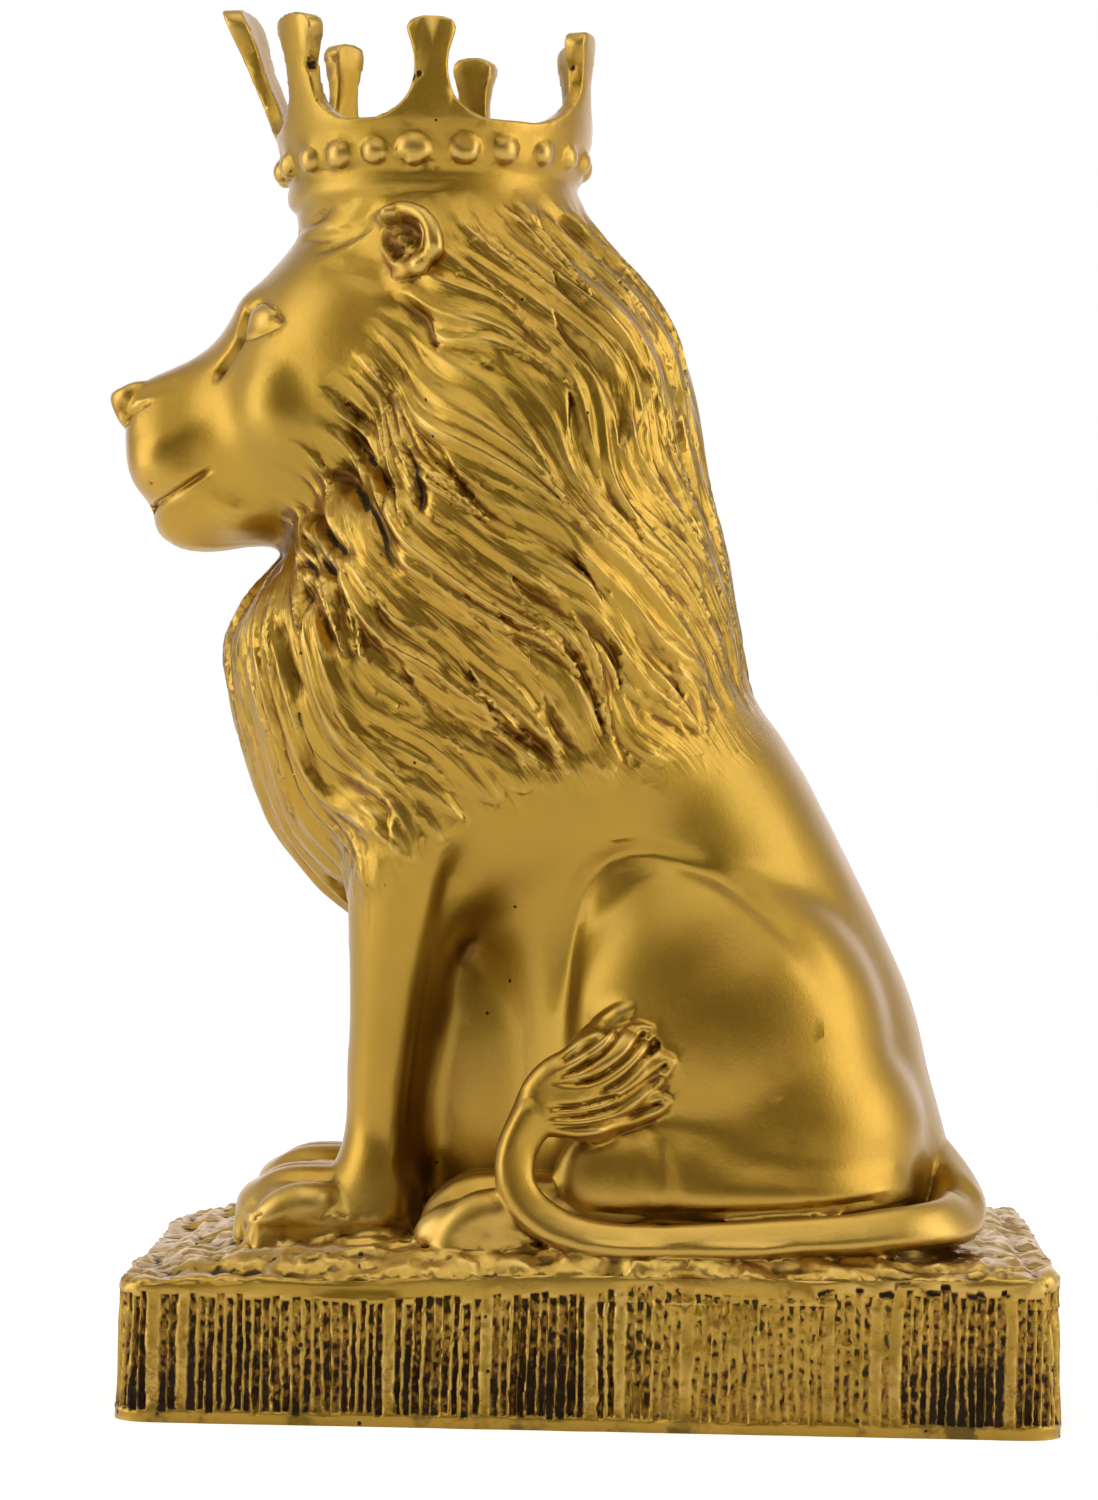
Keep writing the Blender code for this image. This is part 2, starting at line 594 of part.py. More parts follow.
def crown_object(collection):
    """Cup with a rolled foot, united with a row of beads and knobbed spikes."""
    cx, cy = CROWN_CENTRE
    profile = [
        (0.0, CROWN_FOOT), (CROWN_RADIUS - 3.5, CROWN_FOOT), (CROWN_RADIUS + 0.6, 312.5),
        (CROWN_RADIUS + 1.2, 316), (CROWN_RADIUS + 0.4, 319), (CROWN_RADIUS + 1.4, 321),
        (CROWN_RADIUS + 2.4, 327), (CROWN_RADIUS + 3.8, CROWN_RIM + 1.5),
        (CROWN_RADIUS + 3.8 - CROWN_WALL, CROWN_RIM + 1.5), (CROWN_RADIUS - 2.6, 322), (0.0, 321),
    ]
    wire = bpy.data.meshes.new("cup")
    wire.from_pydata([(r * MM, 0, z * MM) for r, z in profile[::-1]], [(i, i + 1) for i in range(len(profile) - 1)], [])
    cup = bpy.data.objects.new("cup", wire)
    collection.objects.link(cup)
    cup.location = (cx * MM, cy * MM, 0)
    turned = cup.modifiers.new("Turned", "SCREW")
    turned.steps = turned.render_steps = 2 * BEADS
    turned.use_merge_vertices = True
    turned.merge_threshold = 0.00002
    beads = bmesh.new()
    for k in range(BEADS):
        angle = (k + 0.5) * 2 * math.pi / BEADS
        reach = CROWN_RADIUS + 2.2
        place = Vector((cx + reach * math.cos(angle), cy + reach * math.sin(angle), 323.6)) * MM
        bmesh.ops.create_uvsphere(beads, u_segments=7, v_segments=4, radius=3.9 * MM,
                                  matrix=Matrix.Translation(place))
    add_union(cup, object_from(beads, "beads", collection))

    spikes = bmesh.new()
    for degrees, tip, lean in SPIKE_PLACES:
        centre = math.radians(degrees)
        rings = []
        for share, half in SPIKE_OUTLINE:
            z = CROWN_RIM - 1.5 + share * (tip - CROWN_RIM + 1.5)
            outer = CROWN_RADIUS + 3.5 + lean * share
            swing = half / outer
            turns = [centre + swing * f for f in (-1, -0.4, 0.4, 1)]
            thick = CROWN_WALL - 0.3 + (1.2 if share > 0.85 else 0)
            ring = [(cx + outer * math.cos(t), cy + outer * math.sin(t), z) for t in turns]
            ring += [(cx + (outer - thick) * math.cos(t), cy + (outer - thick) * math.sin(t), z)
                     for t in turns[::-1]]
            rings.append(np.array(ring))
        add_loft(spikes, rings)
    add_union(cup, object_from(spikes, "spikes", collection))
    return cup


def main():
    for obj in list(bpy.data.objects):
        bpy.data.objects.remove(obj)
    casting = bpy.data.collections.new("Lion statue")
    cutters = bpy.data.collections.new("Cutters")
    bpy.context.scene.collection.children.link(casting)
    bpy.context.scene.collection.children.link(cutters)

    broad = bmesh.new()
    add_broad_forms(broad)
    body = fused(broad, "broad", casting, BROAD_VOXEL, 24)
    fine = bmesh.new()
    fine.from_mesh(body)
    add_fine_forms(fine)
    add_plinth(fine)
    body = fused(fine, "figure", casting, FINE_VOXEL, 3)
    carve(body)

    figure = bpy.data.objects.new("lion_statue", body)
    casting.objects.link(figure)
    if FIGURE_FACES:
        faces = 2 * len(body.polygons)
        thin = figure.modifiers.new("Fewer faces", "DECIMATE")
        thin.ratio = FIGURE_FACES / faces
        body = evaluated_mesh(figure)
        trimmed = bmesh.new()
        trimmed.from_mesh(body)
        cut = bmesh.ops.bisect_plane(trimmed, geom=list(trimmed.verts) + list(trimmed.edges) + list(trimmed.faces),
                                     plane_co=(0, 0, 0), plane_no=(0, 0, 1), clear_inner=True)
        rim = [e for e in cut["geom_cut"] if isinstance(e, bmesh.types.BMEdge)]
        bmesh.ops.contextual_create(trimmed, geom=rim)
        bmesh.ops.triangulate(trimmed, faces=trimmed.faces)
        bmesh.ops.recalc_face_normals(trimmed, faces=trimmed.faces)
        figure = object_from(trimmed, "lion_statue", casting)

    crown = crown_object(cutters)
    mesh = evaluated_mesh(crown)
    for part in list(cutters.objects):
        bpy.data.objects.remove(part)
    crown = bpy.data.objects.new("crown", mesh)
    cutters.objects.link(crown)
    crown.location = (CROWN_CENTRE[0] * MM, CROWN_CENTRE[1] * MM, 0)
    add_union(figure, crown)
    figure.modifiers["crown"].use_self = False
    body = evaluated_mesh(figure)
    bpy.data.objects.remove(crown)
    bpy.data.collections.remove(cutters)
    body.transform(Matrix.Translation((0, ORIGIN_SHIFT * MM, 0)))
    figure = bpy.data.objects.new("lion_statue", body)
    casting.objects.link(figure)
    paint = bpy.data.materials.new("gold_paint")
    paint.use_nodes = True
    shader = paint.node_tree.nodes["Principled BSDF"]
    shader.inputs["Base Color"].default_value = (0.62, 0.45, 0.13, 1)
    shader.inputs["Metallic"].default_value = 0.9
    shader.inputs["Roughness"].default_value = 0.35
    body.materials.clear()
    body.materials.append(paint)


main()
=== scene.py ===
"""Seated lion with a crown, cast in one piece with its rough plinth and painted gold."""

import math

import bmesh
import bpy
import numpy as np
from mathutils import Euler, Matrix, Quaternion, Vector
from mathutils.kdtree import KDTree


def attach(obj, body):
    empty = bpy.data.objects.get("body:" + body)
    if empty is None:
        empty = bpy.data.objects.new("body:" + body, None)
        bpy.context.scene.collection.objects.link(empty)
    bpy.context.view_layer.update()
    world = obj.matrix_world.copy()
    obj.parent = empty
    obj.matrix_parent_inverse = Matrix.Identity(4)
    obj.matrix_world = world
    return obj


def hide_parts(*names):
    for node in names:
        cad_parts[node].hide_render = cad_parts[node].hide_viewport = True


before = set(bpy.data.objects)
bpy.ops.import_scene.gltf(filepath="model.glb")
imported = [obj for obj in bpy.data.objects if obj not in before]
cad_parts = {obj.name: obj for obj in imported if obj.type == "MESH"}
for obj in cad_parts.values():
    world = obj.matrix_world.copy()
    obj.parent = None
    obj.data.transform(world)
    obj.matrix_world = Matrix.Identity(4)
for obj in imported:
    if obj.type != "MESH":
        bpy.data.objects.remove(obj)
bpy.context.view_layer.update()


# The statue is one hollow resin casting: the lion, its crown, its tail and the plinth come out of
# one mould. The skin is rubbed with gold paint over a dark wash that stays in the plinth's lines and
# hollows and the mane's deepest hollows; elsewhere its hollows carry painted shade. It stands on the
# flat underside of the plinth.

# Places are in millimetres from the middle of the plinth's underside, and MM turns them to metres
MM = 0.001
PLINTH_LENGTH = 237.0
PLINTH_WIDTH = 151.0
PLINTH_WALL = 37.0
PLINTH_TOP = 45.0
PLINTH_RISE = 5.0
NOSE_REACH = 132.0
# The nose reaches past the plinth, so the middle of the casting isn't the middle of the plinth
ORIGIN_SHIFT = (NOSE_REACH - PLINTH_LENGTH / 2) / 2
SIDES = (1, -1)
RING_POINTS = 48


def smooth_path(stations, per_span):
    """Curve through the stations, every column worked out alike."""
    rows = np.array(stations, float)
    padded = np.vstack([2 * rows[0] - rows[1], rows, 2 * rows[-1] - rows[-2]])
    made = []
    for i in range(1, len(padded) - 2):
        p0, p1, p2, p3 = padded[i - 1:i + 3]
        for t in np.arange(per_span) / per_span:
            made.append(0.5 * (2 * p1 + (p2 - p0) * t + (2 * p0 - 5 * p1 + 4 * p2 - p3) * t ** 2
                               + (3 * p1 - p0 - 3 * p2 + p3) * t ** 3))
    made.append(rows[-1])
    return np.array(made)


def superellipse(squareness):
    """Unit outline from round, at 2, towards square."""
    angle = np.arange(RING_POINTS) * 2 * math.pi / RING_POINTS
    c, s = np.cos(angle), np.sin(angle)
    power = 2 / squareness
    return np.sign(c) * np.abs(c) ** power, np.sign(s) * np.abs(s) ** power


def add_loft(bm, rings):
    """Closed skin over rings of points in millimetres, with flat ends."""
    loops = [[bm.verts.new(Vector(p) * MM) for p in ring] for ring in rings]
    count = len(loops[0])
    faces = []
    for low, high in zip(loops, loops[1:]):
        for i in range(count):
            j = (i + 1) % count
            faces.append(bm.faces.new((low[i], low[j], high[j], high[i])))
    faces.append(bm.faces.new(loops[0][::-1]))
    faces.append(bm.faces.new(loops[-1]))
    bmesh.ops.recalc_face_normals(bm, faces=faces)


def add_level_slices(bm, slices):
    """Trunk-like form from level slices: height, front, back, half width and squareness."""
    rings = []
    for z, front, back, half, square in smooth_path(slices, 4):
        c, s = superellipse(square)
        depth = (front + back) / 2 + (back - front) / 2 * s
        rings.append(np.stack([half * c, depth, np.full(len(c), z)], 1))
    add_loft(bm, rings)


def add_upright_slices(bm, slices):
    """Head-like form from crosswise slices: y, underside, top, half width and squareness."""
    rings = []
    for y, low, high, half, square in smooth_path(slices, 4):
        c, s = superellipse(square)
        height = (low + high) / 2 + (high - low) / 2 * s
        rings.append(np.stack([half * c, np.full(len(c), y), height], 1))
    add_loft(bm, rings)


# A limb's ends are domes, drawn in at these angles in radians
DOME_ANGLES = (0.5, 0.95, 1.3)


def add_limb(bm, stations, square=2.0, lean=0.0):
    """Tapered limb along x, y, z and one or two radii, the first crosswise.

    Its section goes from round, at 2, towards square, and leans by degrees round the limb.
    """
    path = smooth_path(stations, 6)
    points, radii = path[:, :3], path[:, 3:]
    along = np.gradient(points, axis=0)
    along /= np.linalg.norm(along, axis=1)[:, None]
    c, s = superellipse(square)
    turn = math.radians(lean)
    rings = []
    for middle, way, size in zip(points, along, radii):
        level = np.array((1.0, 0, 0)) - way * way[0]
        level /= np.linalg.norm(level)
        rise = np.cross(way, level)
        side = level * math.cos(turn) + rise * math.sin(turn)
        other = rise * math.cos(turn) - level * math.sin(turn)
        rings.append(middle + size[0] * c[:, None] * side + size[-1] * s[:, None] * other)
    for ring, size, way in ((rings[0], radii[0], -along[0]), (rings[-1], radii[-1], along[-1])):
        middle = ring.mean(0)
        dome = [middle + (ring - middle) * math.cos(t) + way * size.min() * math.sin(t)
                for t in DOME_ANGLES]
        rings = dome[::-1] + rings if ring is rings[0] else rings + dome
    add_loft(bm, rings)


def add_ellipsoid(bm, middle, radii, turn=(0, 0, 0)):
    """Ellipsoid in millimetres, turned by degrees about X, Y and Z."""
    angles = Euler([math.radians(a) for a in turn])
    matrix = Matrix.LocRotScale(Vector(middle) * MM, angles, Vector(radii) * MM)
    bmesh.ops.create_icosphere(bm, subdivisions=4, radius=1, matrix=matrix)


def mirrored(side, middle, turn=(0, 0, 0)):
    """A place and a turn of the near side, moved to the given side."""
    return (side * middle[0], *middle[1:]), (turn[0], side * turn[1], side * turn[2])


def fused(bm, name, voxel, smoothing):
    """One skin over all the masses, by a voxel Remesh and a Smooth, as a mesh."""
    mesh = bpy.data.meshes.new(name)
    bm.to_mesh(mesh)
    bm.free()
    mass = bpy.data.objects.new(name, mesh)
    bpy.context.scene.collection.objects.link(mass)
    remesh = mass.modifiers.new("One skin", "REMESH")
    remesh.mode = "VOXEL"
    remesh.voxel_size = voxel * MM
    smooth = mass.modifiers.new("Melt joints", "SMOOTH")
    smooth.factor = 0.5
    smooth.iterations = smoothing
    graph = bpy.context.evaluated_depsgraph_get()
    skin = bpy.data.meshes.new_from_object(mass.evaluated_get(graph))
    bpy.data.objects.remove(mass)
    return skin


# The lion sits upright on its haunches with its forelegs straight. Trunk, mane and head are slices,
# the legs are limbs, and all are melted into one smooth body before any detail is cut.

TRUNK = [
    (38, -24, 90, 40, 2.6),
    (50, -27, 95, 45, 2.6),
    (66, -28, 93, 47, 2.6),
    (84, -29, 87.8, 46, 2.6),
    (104, -32, 82.8, 44, 2.5),
    (124, -38, 73.7, 43, 2.4),
    (144, -52, 63.6, 44, 2.3),
    (164, -70, 53, 46, 2.2),
    (184, -84, 41, 47, 2.1),
    (204, -80, 35, 46, 2.0),
    (222, -70, 28, 42, 2.0),
]
MANE = [
    (118, -57, 10, 22, 2.0),
    (126, -66.5, 40, 33, 2.1),
    (136, -76, 52, 42, 2.2),
    (148, -86, 57, 47, 2.2),
    (162, -92.7, 51, 51, 2.2),
    (176, -96.8, 43, 53.5, 2.2),
    (188, -99.2, 39.2, 55, 2.2),
    (198, -98.6, 37, 56, 2.2),
    (208, -92.5, 34.4, 56.5, 2.2),
    (218, -85.5, 32, 57.5, 2.2),
    (230, -79, 28, 57, 2.2),
    (242, -72, 25, 56, 2.2),
    (254, -66, 23, 54.5, 2.2),
    (266, -62, 20.5, 52, 2.2),
    (276, -62, 18, 49.5, 2.1),
    (286, -68, 12.5, 46.5, 2.1),
    (296, -78, 4.5, 43, 2.0),
    (304, -82, -3.5, 40, 2.0),
    (312, -84, -7, 38, 2.0),
    (319, -84, -9, 37, 2.0),
]
HEAD = [
    (-127.8, 243.5, 260.5, 7.5, 2.3),
    (-125.8, 237.5, 263, 11, 2.3),
    (-122, 232.5, 265.5, 13.5, 2.3),
    (-116, 229.5, 268.0, 15.5, 2.3),
    (-110, 228.5, 270.8, 16.5, 2.2),
    (-104, 227.5, 275.5, 18, 2.2),
    (-99, 226.5, 283.0, 20.5, 2.2),
    (-94, 225.5, 289.0, 24.5, 2.2),
    (-88, 224.5, 295.5, 29, 2.2),
    (-80, 223, 304.5, 34, 2.2),
    (-70, 222, 312.0, 38, 2.2),
    (-58, 222, 316.0, 40.5, 2.1),
    (-46, 226, 316.0, 41, 2.0),
    (-30, 232, 312.0, 40, 2.0),
]
# Haunch, rump, hind leg, shoulder, cheek, brow, forepaw and the flank behind the tuft
BROAD = [
    ((27, 34, 90), (33.5, 43, 49), (6, 0, 0)),
    ((32, 26, 98), (25.5, 36.5, 45.5), (0, 0, 0)),
    ((27, 46, 70), (34, 40, 34), (0, 0, 0)),
    ((26, 28, 62), (37, 42, 24), (0, 0, 0)),
    ((27, -44, 150), (24, 24, 30), (0, 0, 0)),
    ((19.5, -75, 256), (15, 22, 20), (0, 0, 12)),
    ((8, -91, 282), (9, 8, 6), (-35, 0, 0)),
    ((26, -75, 46.5), (18.5, 19, 11.5), (-8, 0, 0)),
    ((53, 4, 58), (9, 15, 17), (0, 0, 0)),
    ((40, 38, 57), (25.5, 45, 13.5), (0, 0, 0)),
    ((6.0, -110.3, 243.5), (14.0, 17.0, 15.0), (0, 0, 8)),
    ((9.0, -97, 249), (12.5, 16.0, 15.0), (0, 0, 10)),
    ((14.5, -93, 251), (9.5, 22.0, 16.0), (0, 0, -24)),
]
FORELEG = [
    (33, -42, 168, 19, 23),
    (33, -46, 142, 18.5, 19),
    (31.5, -49.2, 118, 16, 15),
    (29.5, -51.2, 98, 13.5, 12.8),
    (27.8, -53.0, 82, 12.0, 11.4),
    (26.5, -54.0, 68, 11.4, 10.8),
    (26.3, -55.6, 56, 14.2, 12.4),
    (26.6, -58, 44, 17.5, 14.0),
]

# Chin, jaw and the belly behind the forelegs, on the middle line
MIDDLE_MASSES = [
    ((0, -106, 227), (11.5, 15, 8.5)),
    ((0, -94, 230), (17, 16, 9.5)),
    ((0, -96, 230), (20.5, 15, 9)),
    ((0, -27, 84), (30, 19, 52)),
    ((0, -38, 84), (25, 17, 48)),
]
BODY_VOXEL = 2.0
BODY_MELT = 24

masses = bmesh.new()
add_level_slices(masses, TRUNK)
add_level_slices(masses, MANE)
add_upright_slices(masses, HEAD)
for middle, radii in MIDDLE_MASSES:
    add_ellipsoid(masses, middle, radii)
for side in SIDES:
    for middle, radii, turn in BROAD:
        place, turned = mirrored(side, middle, turn)
        add_ellipsoid(masses, place, radii, turned)
    add_limb(masses, [(side * x, y, z, rx, ry) for x, y, z, rx, ry in FORELEG])
body_skin = fused(masses, "body", BODY_VOXEL, BODY_MELT)

# The dips between muzzle and cheek and behind the foreleg are evened out, least at their borders
EVENED = [((8, -110, 225), (60, -85, 276)), ((10, -52, 58), (60, -14, 150))]
EVENED_INSETS = (0, 2.5, 5)
EVENED_ROUNDS = 7
even = bmesh.new()
even.from_mesh(body_skin)
for low, high in EVENED:
    for inset in EVENED_INSETS:
        low_end = [(v + inset) * MM for v in low]
        high_end = [(v - inset) * MM for v in high]
        dip = [v for v in even.verts if all(
            a < b < c for a, b, c in zip(low_end, (abs(v.co.x), v.co.y, v.co.z), high_end))]
        for _ in range(EVENED_ROUNDS):
            bmesh.ops.smooth_vert(even, verts=dip, factor=0.5, use_axis_x=True, use_axis_y=True,
                                  use_axis_z=True)
even.to_mesh(body_skin)
even.free()


# Paws, tail, tuft, ears, eyes and nose go on the smooth body before the second skin. The tail leaves
# the rump, lies on the plinth along the left flank and turns up to its tuft on the haunch.

# Each station of the tail: x, y, z and radius
TAIL = [
    (0, 80, 66, 9),
    (16, 89, 58, 8),
    (34, 93.5, 52.5, 6.8),
    (50, 90.5, 50.5, 6.0),
    (60, 80, 49.8, 5.2),
    (65, 60, 48.6, 4.7),
    (67, 36, 47.2, 4.4),
    (67.5, 14, 46.6, 4.3),
    (67.5, -2, 47.4, 4.4),
    (67, -12.5, 52, 4.5),
    (66, -18, 59, 4.4),
    (64.5, -18.3, 68, 4.6),
    (62.5, -14, 77, 5.2),
]
# The tail's section is narrower crosswise than upward, squarish, and leans by these degrees
TAIL_FLATNESS = (0.80, 1.1)
TAIL_SQUARENESS = 2.9
TAIL_LEAN = 26
# Each lock of the tuft: y, z and half height at its middle, y and z at its tip
TUFT_LOCKS = [
    ((-4, 90, 5.5), (10, 103.5)),
    ((-2, 87, 7.5), (14, 97.5)),
    ((1, 84, 8.5), (19.5, 90)),
    ((1, 80, 7.5), (18.5, 80)),
    ((0, 76, 6.0), (14, 74)),
]


def haunch_side(y, z):
    """How far out the haunch's surface lies at a place of the near side."""
    return 27 + 33.5 * math.sqrt(max(1 - ((y - 34) / 43) ** 2 - ((z - 90) / 49) ** 2, 0.05))


# Share of a toe's length, and how far its top has dropped there
TOE_BEND = ((0.30, -0.2), (0.50, 0.3), (0.64, 2.4), (0.75, 6.2), (0.80, 12.0), (0.81, 18.0))


def add_paw(bm, side, middle, heel, tips, height, spread):
    """Four toes side by side, each a long level ridge that turns down at its tip."""
    for k, tip in enumerate(tips):
        step = k - 1.5
        x = side * (middle + step * spread)
        outer = abs(step) > 1
        top = height - (3.6 if outer else 0)
        wide, deep = (5.4, 6.4) if outer else (5.4, 6.0)
        inner = side * middle + (x - side * middle) * (0.45 if outer else 0.8)
        stations = [(inner, heel, top - (1.5 if outer else 0), wide - (1.2 if outer else 0), deep)]
        for share, drop in TOE_BEND:
            stations.append((x, heel + (tip - heel) * share, top - drop, wide, deep))
        add_limb(bm, stations)


# The ear's thick rim is open to the front
EAR_RIM = [
    (37.5, -57.5, 304.0), (41.5, -53.0, 306.0), (45.0, -47.5, 304.5), (46.5, -44.0, 300.5),
    (46.5, -43.4, 296.0), (45.0, -46.0, 292.3), (42.0, -50.0, 290.4), (39.0, -53.0, 289.6),
]
EAR_RIM_RADIUS = 1.8

# The nose leather is a wedge whose front leans back
NOSE = [
    (-131.9, 258.6, 260.8, 3.8, 4.0),
    (-130.6, 255.4, 261.8, 5.8, 4.5),
    (-128.4, 252.2, 262.8, 7.2, 5.0),
    (-125.6, 252.2, 264.0, 7.4, 5.0),
    (-121.0, 254.5, 264.6, 6.2, 4.0),
    (-114.0, 257.0, 265.0, 3.5, 3.0),
]

# Masses of the near side that fill the paws: the hind one's heel, the forepaw's outer side, the
# ground under the toes of both, and the hind one's outer side
PAW_FILLERS = [
    ((46, -6, 50), (15, 26, 9)),
    ((36, -73, 45.5), (9.5, 16, 8.5)),
    ((26, -79.5, 44), (18.5, 11.5, 10)),
    ((50, -29.5, 44), (17.5, 12.5, 11)),
    ((60, -27, 46), (8.5, 17, 9.5)),
]
# Eyeball and ear of the near side: middle, radii and turn
EYE_AND_EAR = [
    ((21.1, -87.4, 278.2), (4.9, 7.8, 5.6), (0, 0, -44)),
    ((38.5, -50.0, 298.0), (6.0, 8.0, 8.6), (0, -12, -18)),
]

forms = bmesh.new()
forms.from_mesh(body_skin)
across_tail, up_tail = TAIL_FLATNESS
add_limb(forms, [(x, y, z, across_tail * r, up_tail * r) for x, y, z, r in TAIL], TAIL_SQUARENESS, TAIL_LEAN)
for (y, z, half), (tip_y, tip_z) in TUFT_LOCKS:
    mid_y, mid_z = y + (tip_y - y) * 0.5, z + (tip_z - z) * 0.45
    low_y, low_z = tip_y - (tip_y - y) * 0.18, tip_z - (tip_z - z) * 0.12
    add_limb(forms, [
        (61.5, -16, 75, 4.2, 4.5),
        (61.5, (y - 16) / 2 - 2, (z + 77) / 2, 4.4, (half + 4.5) / 2),
        (61, y, z, 4.4, half),
        (haunch_side(mid_y, mid_z) + 2.0, mid_y, mid_z, 3.8, half * 0.94),
        (haunch_side(low_y, low_z) + 0.6, low_y, low_z, 3.0, half * 0.56),
        (haunch_side(tip_y, tip_z) - 0.8, tip_y + 1.2, tip_z + 0.6, 2.1, 1.5),
    ])
# The tuft's body, under its locks
add_ellipsoid(forms, (58.5, 2.5, 86), (6.6, 14.5, 11.5), (30, 0, 0))
add_upright_slices(forms, NOSE)
for side in SIDES:
    add_paw(forms, side, middle=26, heel=-64, tips=(-89, -94, -93, -88), height=53.6, spread=9.3)
    add_paw(forms, side, middle=50, heel=-12, tips=(-39, -45, -44.5, -40), height=55.5, spread=8.8)
    for middle, radii in PAW_FILLERS:
        place, _ = mirrored(side, middle)
        add_ellipsoid(forms, place, radii)
    for middle, radii, turn in EYE_AND_EAR:
        place, turned = mirrored(side, middle, turn)
        add_ellipsoid(forms, place, radii, turned)
    add_limb(forms, [(side * x, y, z, EAR_RIM_RADIUS) for x, y, z in EAR_RIM])
    # The rim ends in a small knob in front
    add_ellipsoid(forms, (side * 41.5, -55.6, 304.4), (2.4, 2.4, 2.4))


# The plinth is cast with the lion: a block, higher at the rear, with a chamfered top edge, a low
# mound round the feet and shoulders that slope along both long sides.

def add_block(bm, low, high, inset, lip, corner):
    """Upright block with rounded corners, drawn in at the top and higher at the rear."""
    size = Vector((PLINTH_WIDTH - 2 * inset, PLINTH_LENGTH - 2 * inset, high - low)) * MM
    middle = Vector((0, 0, (low + high) / 2)) * MM
    block = bmesh.ops.create_cube(bm, size=1, matrix=Matrix.LocRotScale(middle, None, size))["verts"]
    for v in block:
        if v.co.z > middle.z:
            v.co.x *= 1 - lip * MM / abs(v.co.x)
            v.co.y *= 1 - lip * MM / abs(v.co.y)
            v.co.z += math.copysign(PLINTH_RISE / 2, v.co.y) * MM
    upright = {e for v in block for e in v.link_edges if abs(e.verts[0].co.z - e.verts[1].co.z) > 2 * MM}
    upright = [e for e in upright if abs(e.verts[0].co.y - e.verts[1].co.y) < 30 * MM]
    bmesh.ops.bevel(bm, geom=upright, offset=corner * MM, segments=8, profile=0.5, affect="EDGES")


PLINTH_VOXEL = 1.3
PLINTH_MELT = 7
plinth = bmesh.new()
# The wall, its chamfer and the mound; the wall starts below the table and is cut flat later
add_block(plinth, low=-12, high=PLINTH_WALL + 1.2, inset=0.0, lip=1.2, corner=9)
add_block(plinth, low=6, high=PLINTH_WALL + 3.2, inset=2.6, lip=8, corner=10)
add_block(plinth, low=PLINTH_WALL - 4, high=PLINTH_TOP - 0.3, inset=5, lip=24, corner=24)
for side in SIDES:
    add_ellipsoid(plinth, (side * 60.5, 2, 38), (13.5, 104, 6.6))
forms.from_mesh(fused(plinth, "plinth", PLINTH_VOXEL, PLINTH_MELT))


# The crown is cast on the head: a flared ring with a rolled foot, a row of beads and seven knobbed
# spikes, round an open hollow. Nothing of it is a separate piece.

CROWN_MIDDLE = (0.0, -47.0)
CROWN_RADIUS = 38.0
CROWN_WALL = 4.0
CROWN_RIM = 329.5
BEAD_HEIGHT = 321.5
BEAD_RING = CROWN_RADIUS + 2.2
BEAD_TILT = 1.5
BEAD_DEPTH = 2.3
TURNING_STEPS = 132
# Each spike: degrees round from the near side, height and lean of its tip, width of foot and knob
SPIKES = [
    (2.5, 355, 1.0, 1.0, 1.0),
    (73, 356, 1.8, 1.5, 0.85),
    (113, 357, 0.5, 1.2, 1.0),
    (168, 357.5, 0.5, 1.0, 0.95),
    (-138, 359.5, 1.0, 1.0, 0.85),
    (-104, 365.5, 17.0, 1.0, 1.35),
    (-50, 357.5, 5.0, 1.0, 1.16),
]
# Share of the spike's height and half width there
SPIKE_OUTLINE = [
    (0.0, 19.4), (0.035, 15.2), (0.08, 11.8), (0.14, 9.0), (0.21, 7.0), (0.30, 5.6), (0.42, 4.7),
    (0.54, 4.4), (0.66, 4.7), (0.76, 5.5), (0.84, 6.3), (0.90, 6.5), (0.95, 6.0), (0.98, 4.8), (1.0, 2.6),
]
# Degrees round from the near side to each bead, and its size; the far side has the same
BEADS = [
    (-84, 3.3), (-68.3, 3.4), (-49.6, 3.5), (-33.9, 3.7), (-18.5, 3.4), (-3.5, 4.3), (15.3, 3.9), (31.1, 3.7),
    (48.7, 3.4), (65, 3.3), (81.5, 3.4),
]
# Outline of the ring from under its middle, out and up to the rim, and down to its inner floor
CUP = [
    (0.0, 309), (CROWN_RADIUS - 2.5, 309), (CROWN_RADIUS - 0.2, 310.4), (CROWN_RADIUS + 0.5, 312.0),
    (CROWN_RADIUS + 0.6, 314.0), (CROWN_RADIUS + 0.3, 315.0), (CROWN_RADIUS - 0.5, 315.5),
    (CROWN_RADIUS + 0.3, 316.0), (CROWN_RADIUS + 0.5, 317.0), (CROWN_RADIUS + 0.2, 317.6),
    (CROWN_RADIUS + 1.2, 318.2), (CROWN_RADIUS + 1.8, 319.6),
    (CROWN_RADIUS + 2.5, 323.0), (CROWN_RADIUS + 3.4, 327.0), (CROWN_RADIUS + 4.1, CROWN_RIM),
    (CROWN_RADIUS + 4.1 - CROWN_WALL, CROWN_RIM + 0.4), (CROWN_RADIUS - 1.8, 322), (0.0, 321),
]


def smooth_step(low, high, value):
    """0 below low, 1 above high and smooth between them."""
    t = np.clip((value - low) / (high - low), 0, 1)
    return t * t * (3 - 2 * t)


